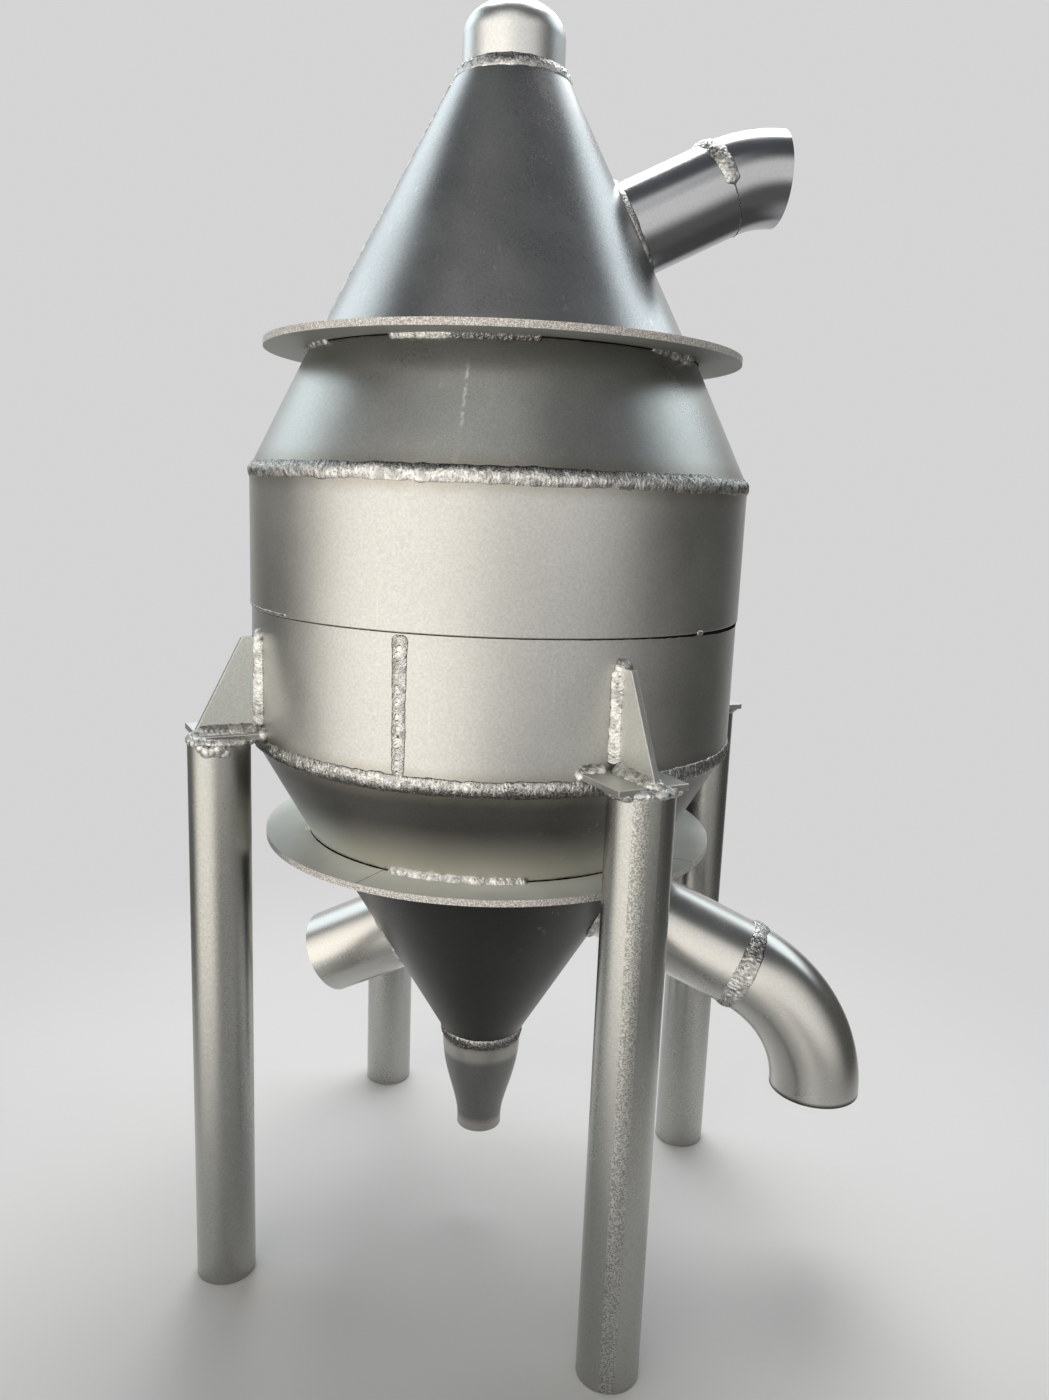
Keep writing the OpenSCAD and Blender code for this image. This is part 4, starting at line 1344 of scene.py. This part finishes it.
@dataclass
class Studio:
    """The pale floor, the sky and the lamp."""

    floor_colour: Colour = (0.66, 0.65, 0.64)
    backdrop: Colour = (0.66, 0.66, 0.66)
    zenith: Colour = (0.11, 0.115, 0.12)
    floor_radius: float = 5.0
    floor_drop: float = 0.0005
    floor_sides: int = 96
    floor_fade: tuple[float, float] = (0.42, 1.25)
    behind: SkyPatch = SkyPatch(WHITE, 180.0, 26.0, 44.0, head=(20.0, 34.0))
    patches: tuple[SkyPatch, ...] = (
        SkyPatch((0.16, 0.16, 0.15), head=(8.0, 25.0)),
        SkyPatch((0.60, 0.62, 0.61), 180.0, 44.0, 78.0, (10.0, 20.0), (30.0, 44.0)),
        SkyPatch((1.14, 1.12, 1.08), 2.0, 10.0, 78.0, (-26.0, -2.0), (24.0, 48.0)),
        SkyPatch((1.76, 1.69, 1.57), -46.0, 14.0, 54.0, head=(22.0, 46.0)),
        SkyPatch((1.18, 1.18, 1.14), -19.0, 18.0, 44.0, (26.0, 40.0), (47.0, 60.0)),
        SkyPatch((1.62, 1.80, 1.88), -142.0, 26.0, 46.0, (10.0, 20.0), (40.0, 53.0)),
        SkyPatch((1.62, 1.80, 1.88), 121.0, 15.0, 27.0, (18.0, 28.0), (42.0, 55.0)),
        SkyPatch((0.10, 0.10, 0.095), 114.0, 22.0, 46.0, head=(12.0, 22.0)),
    )
    lamp_azimuth: float = 100.0
    lamp_distance: float = 1.6
    lamp_height: float = 3.4
    lamp_width: float = 2.2
    lamp_power: float = 90.0
    lamp_gloss: float = 0.12

    def build(self) -> None:
        """Set up the sky, the lamp and the floor."""
        bpy.context.scene.view_settings.view_transform = "Standard"
        self._world()
        self._lamp()
        self._floor()

    def _world(self) -> None:
        """Paint the sky, and show the plain backdrop to the camera and, behind the vessel, to metal."""
        world = bpy.data.worlds.new("studio_world")
        bpy.context.scene.world = world
        world.use_nodes = True
        sh = Shader(world.node_tree)
        way = sh.add("TexCoord").outputs["Generated"]
        level, height = sh.level(way), sh.height(way)
        sky: object = self.zenith
        for patch in self.patches:
            sky = sh.mix(patch.mask(sh, level, height), sky, patch.colour)
        rays = sh.add("LightPath").outputs
        mirrored = sh.times(rays["Is Glossy Ray"], self.behind.mask(sh, level, height))
        seen = sh.math("MAXIMUM", rays["Is Camera Ray"], rays["Is Transmission Ray"])
        seen = sh.math("MAXIMUM", seen, mirrored)
        sh.fill(world.node_tree.nodes["Background"], Color=sh.mix(seen, sky, self.backdrop), Strength=1.0)

    def _lamp(self) -> None:
        """Hang a large square lamp over the vessel, facing the middle of the floor."""
        data = bpy.data.lights.new("top_softbox", "AREA")
        data.size, data.energy, data.specular_factor = self.lamp_width, self.lamp_power, self.lamp_gloss
        lamp = put_in_scene("top_softbox", data)
        lamp.location = Vector(heading(self.lamp_azimuth) * self.lamp_distance + UP * self.lamp_height)
        lamp.rotation_euler = (-lamp.location).to_track_quat("-Z", "Y").to_euler()

    def _floor(self) -> None:
        """Lay a round floor that fades out into the backdrop."""
        turns = [TAU * i / self.floor_sides for i in range(self.floor_sides)]
        rim = [(self.floor_radius * math.cos(a), self.floor_radius * math.sin(a), 0.0) for a in turns]
        faces = [(0, 1 + i, 1 + (i + 1) % self.floor_sides) for i in range(self.floor_sides)]
        mesh = bpy.data.meshes.new("floor")
        mesh.from_pydata([(0.0, 0.0, 0.0), *rim], [], faces)
        floor = put_in_scene("floor", mesh)
        floor.location.z = -self.floor_drop
        mat, sh, bsdf = new_material("pale_floor")
        place = sh.add("TexCoord").outputs["Object"]
        tone = sh.mix(sh.remap(sh.noise(place, 3.0), 0.3, 0.7), dim(self.floor_colour, 0.97),
                      self.floor_colour)
        sh.fill(bsdf, Base_Color=tone, Roughness=0.8)
        reach = sh.calc("VectorMath", "LENGTH", place).outputs["Value"]
        clear, glow = sh.add("BsdfTransparent"), sh.add("Emission", Color=(*self.backdrop, 1.0))
        camera_ray = sh.add("LightPath").outputs["Is Camera Ray"]
        far = self._mix_shaders(sh, camera_ray, clear, glow)
        whole = self._mix_shaders(sh, sh.remap(reach, *self.floor_fade, smooth=True), bsdf, far)
        sh.put(whole.outputs[0], mat.node_tree.nodes["Material Output"].inputs["Surface"])
        mesh.materials.append(mat)

    @staticmethod
    def _mix_shaders(sh: Shader, share: Socket, first: bpy.types.Node,
                     second: bpy.types.Node) -> bpy.types.Node:
        """Return a node that mixes two shaders by the share of the second."""
        node = sh.add("MixShader", Fac=share)
        sh.put(first.outputs[0], node.inputs[1])
        sh.put(second.outputs[0], node.inputs[2])
        return node


def finishes() -> dict[str, Material]:
    """Return every finish of the sheet, tube, plate and weld metal, by name."""
    shoulder, belly = RoundEnd("upper_shell", True).z, RoundEnd("lower_shell", False).z
    tip, neck = ends("bottom_reducer")
    leg = SatinSteel("leg_satin", (0.46, 0.46, 0.44), (0.34, 0.34, 0.325), 0.26, 0.2, 0.5, 0.12,
                     stretch=(1.0, 1.0, 0.25), speckle=0.13)
    looks = (
        SatinSteel("shell_satin", (0.58, 0.577, 0.555), (0.50, 0.497, 0.475), 0.36, 0.22, 0.5, 0.4,
                   weld_heights=(shoulder, belly)),
        SatinSteel("cone_graphite", (0.49, 0.49, 0.49), (0.42, 0.42, 0.42), 0.29, 0.10, 0.5, 0.7,
                   speckle=0.16),
        SatinSteel("shoulder_graphite", (0.51, 0.51, 0.49), (0.40, 0.40, 0.385), 0.31, 0.3, 0.6, 0.9,
                   weld_heights=(shoulder,), streak=(280.4, 0.868, 0.938)),
        SatinSteel("hopper_satin", (0.155, 0.15, 0.139), (0.115, 0.11, 0.101), 0.38, 0.2, 0.5, 0.5,
                   weld_heights=(belly,), foot_heights=(belly - 0.040, belly - 0.105),
                   foot_tone=(0.80, 0.775, 0.71)),
        # Very dark tone: painted shade, and a painted dark reflection of what lies under the lower cone.
        SatinSteel("lower_cone_shaded", (0.068, 0.067, 0.064), (0.046, 0.045, 0.042), 0.32, 0.15, 0.5, 0.5,
                   speckle=0.12),
        SatinSteel("cap_satin", (0.70, 0.70, 0.69), (0.60, 0.60, 0.59), 0.32, 0.2, 0.4, 0.3,
                   speckle=0.12),
        SatinSteel("pipe_graphite", (0.46, 0.465, 0.485), (0.41, 0.415, 0.435), 0.20, 0.03, 0.3, 0.0,
                   speckle=0.06, blotch=0.08),
        SatinSteel("pipe_satin", (0.62, 0.608, 0.58), (0.55, 0.539, 0.515), 0.25, 0.03, 0.3, 0.0,
                   speckle=0.06, blotch=0.08, foot_tone=(0.02, 0.02, 0.02),
                   tone_bands=((heights("lower_elbow")[0], 0.0055),)),
        # Lighter bands under the neck weld and round the tip: painted highlights.
        SatinSteel("reducer_satin", (0.25, 0.253, 0.243), (0.19, 0.193, 0.184), 0.38, 0.1, 0.4, 0.1,
                   tone_bands=((neck.z - 0.0185, 0.0125), (tip.z + 0.003, 0.015)),
                   foot_tone=(0.44, 0.425, 0.40)),
        leg,
        replace(leg, name="leg_satin_striped", stripe=(0.2090, -0.2090, 281.5)),
        SatinSteel("bracket_satin", (0.74, 0.755, 0.72), (0.64, 0.655, 0.62), 0.40, 0.25, 0.4, 0.3),
        SatinSteel("torch_cut", (0.46, 0.455, 0.44), (0.28, 0.277, 0.27), 0.46, 0.7, 0.5, 0.3),
        SatinSteel("dark_joint_and_gap_shade", (0.014, 0.013, 0.012), (0.008, 0.008, 0.007), 0.7, 0.3, 0.5, 0.0,
                   metallic=0.0),
        SatinSteel("bright_rim", (0.78, 0.75, 0.72), (0.62, 0.60, 0.58), 0.32, 0.5, 0.5, 0.3),
        CutPlate(),
        WeldMetal(),
    )
    return {look.name: look.material() for look in looks}


def main() -> None:
    """Dress the part, lay the welds, and set the studio and the camera."""
    logging.basicConfig(level=logging.INFO, format="%(name)s: %(message)s")
    PhotoCamera().build()
    Studio().build()
    made = finishes()
    dresser = Dresser(made)
    for coat, nodes in COATS.items():
        dresser.dress(coat, nodes)
    VesselWelds(made["weld_metal"], made["dark_joint_and_gap_shade"]).build()
    Reducer(made["reducer_satin"]).build()
    BranchWelds(made["weld_metal"]).build()
    BracketPlates(made["bracket_satin"], made["torch_cut"], made["bright_rim"]).build()
    BracketWelds(made["weld_metal"]).build()


if __name__ == "__main__":
    main()
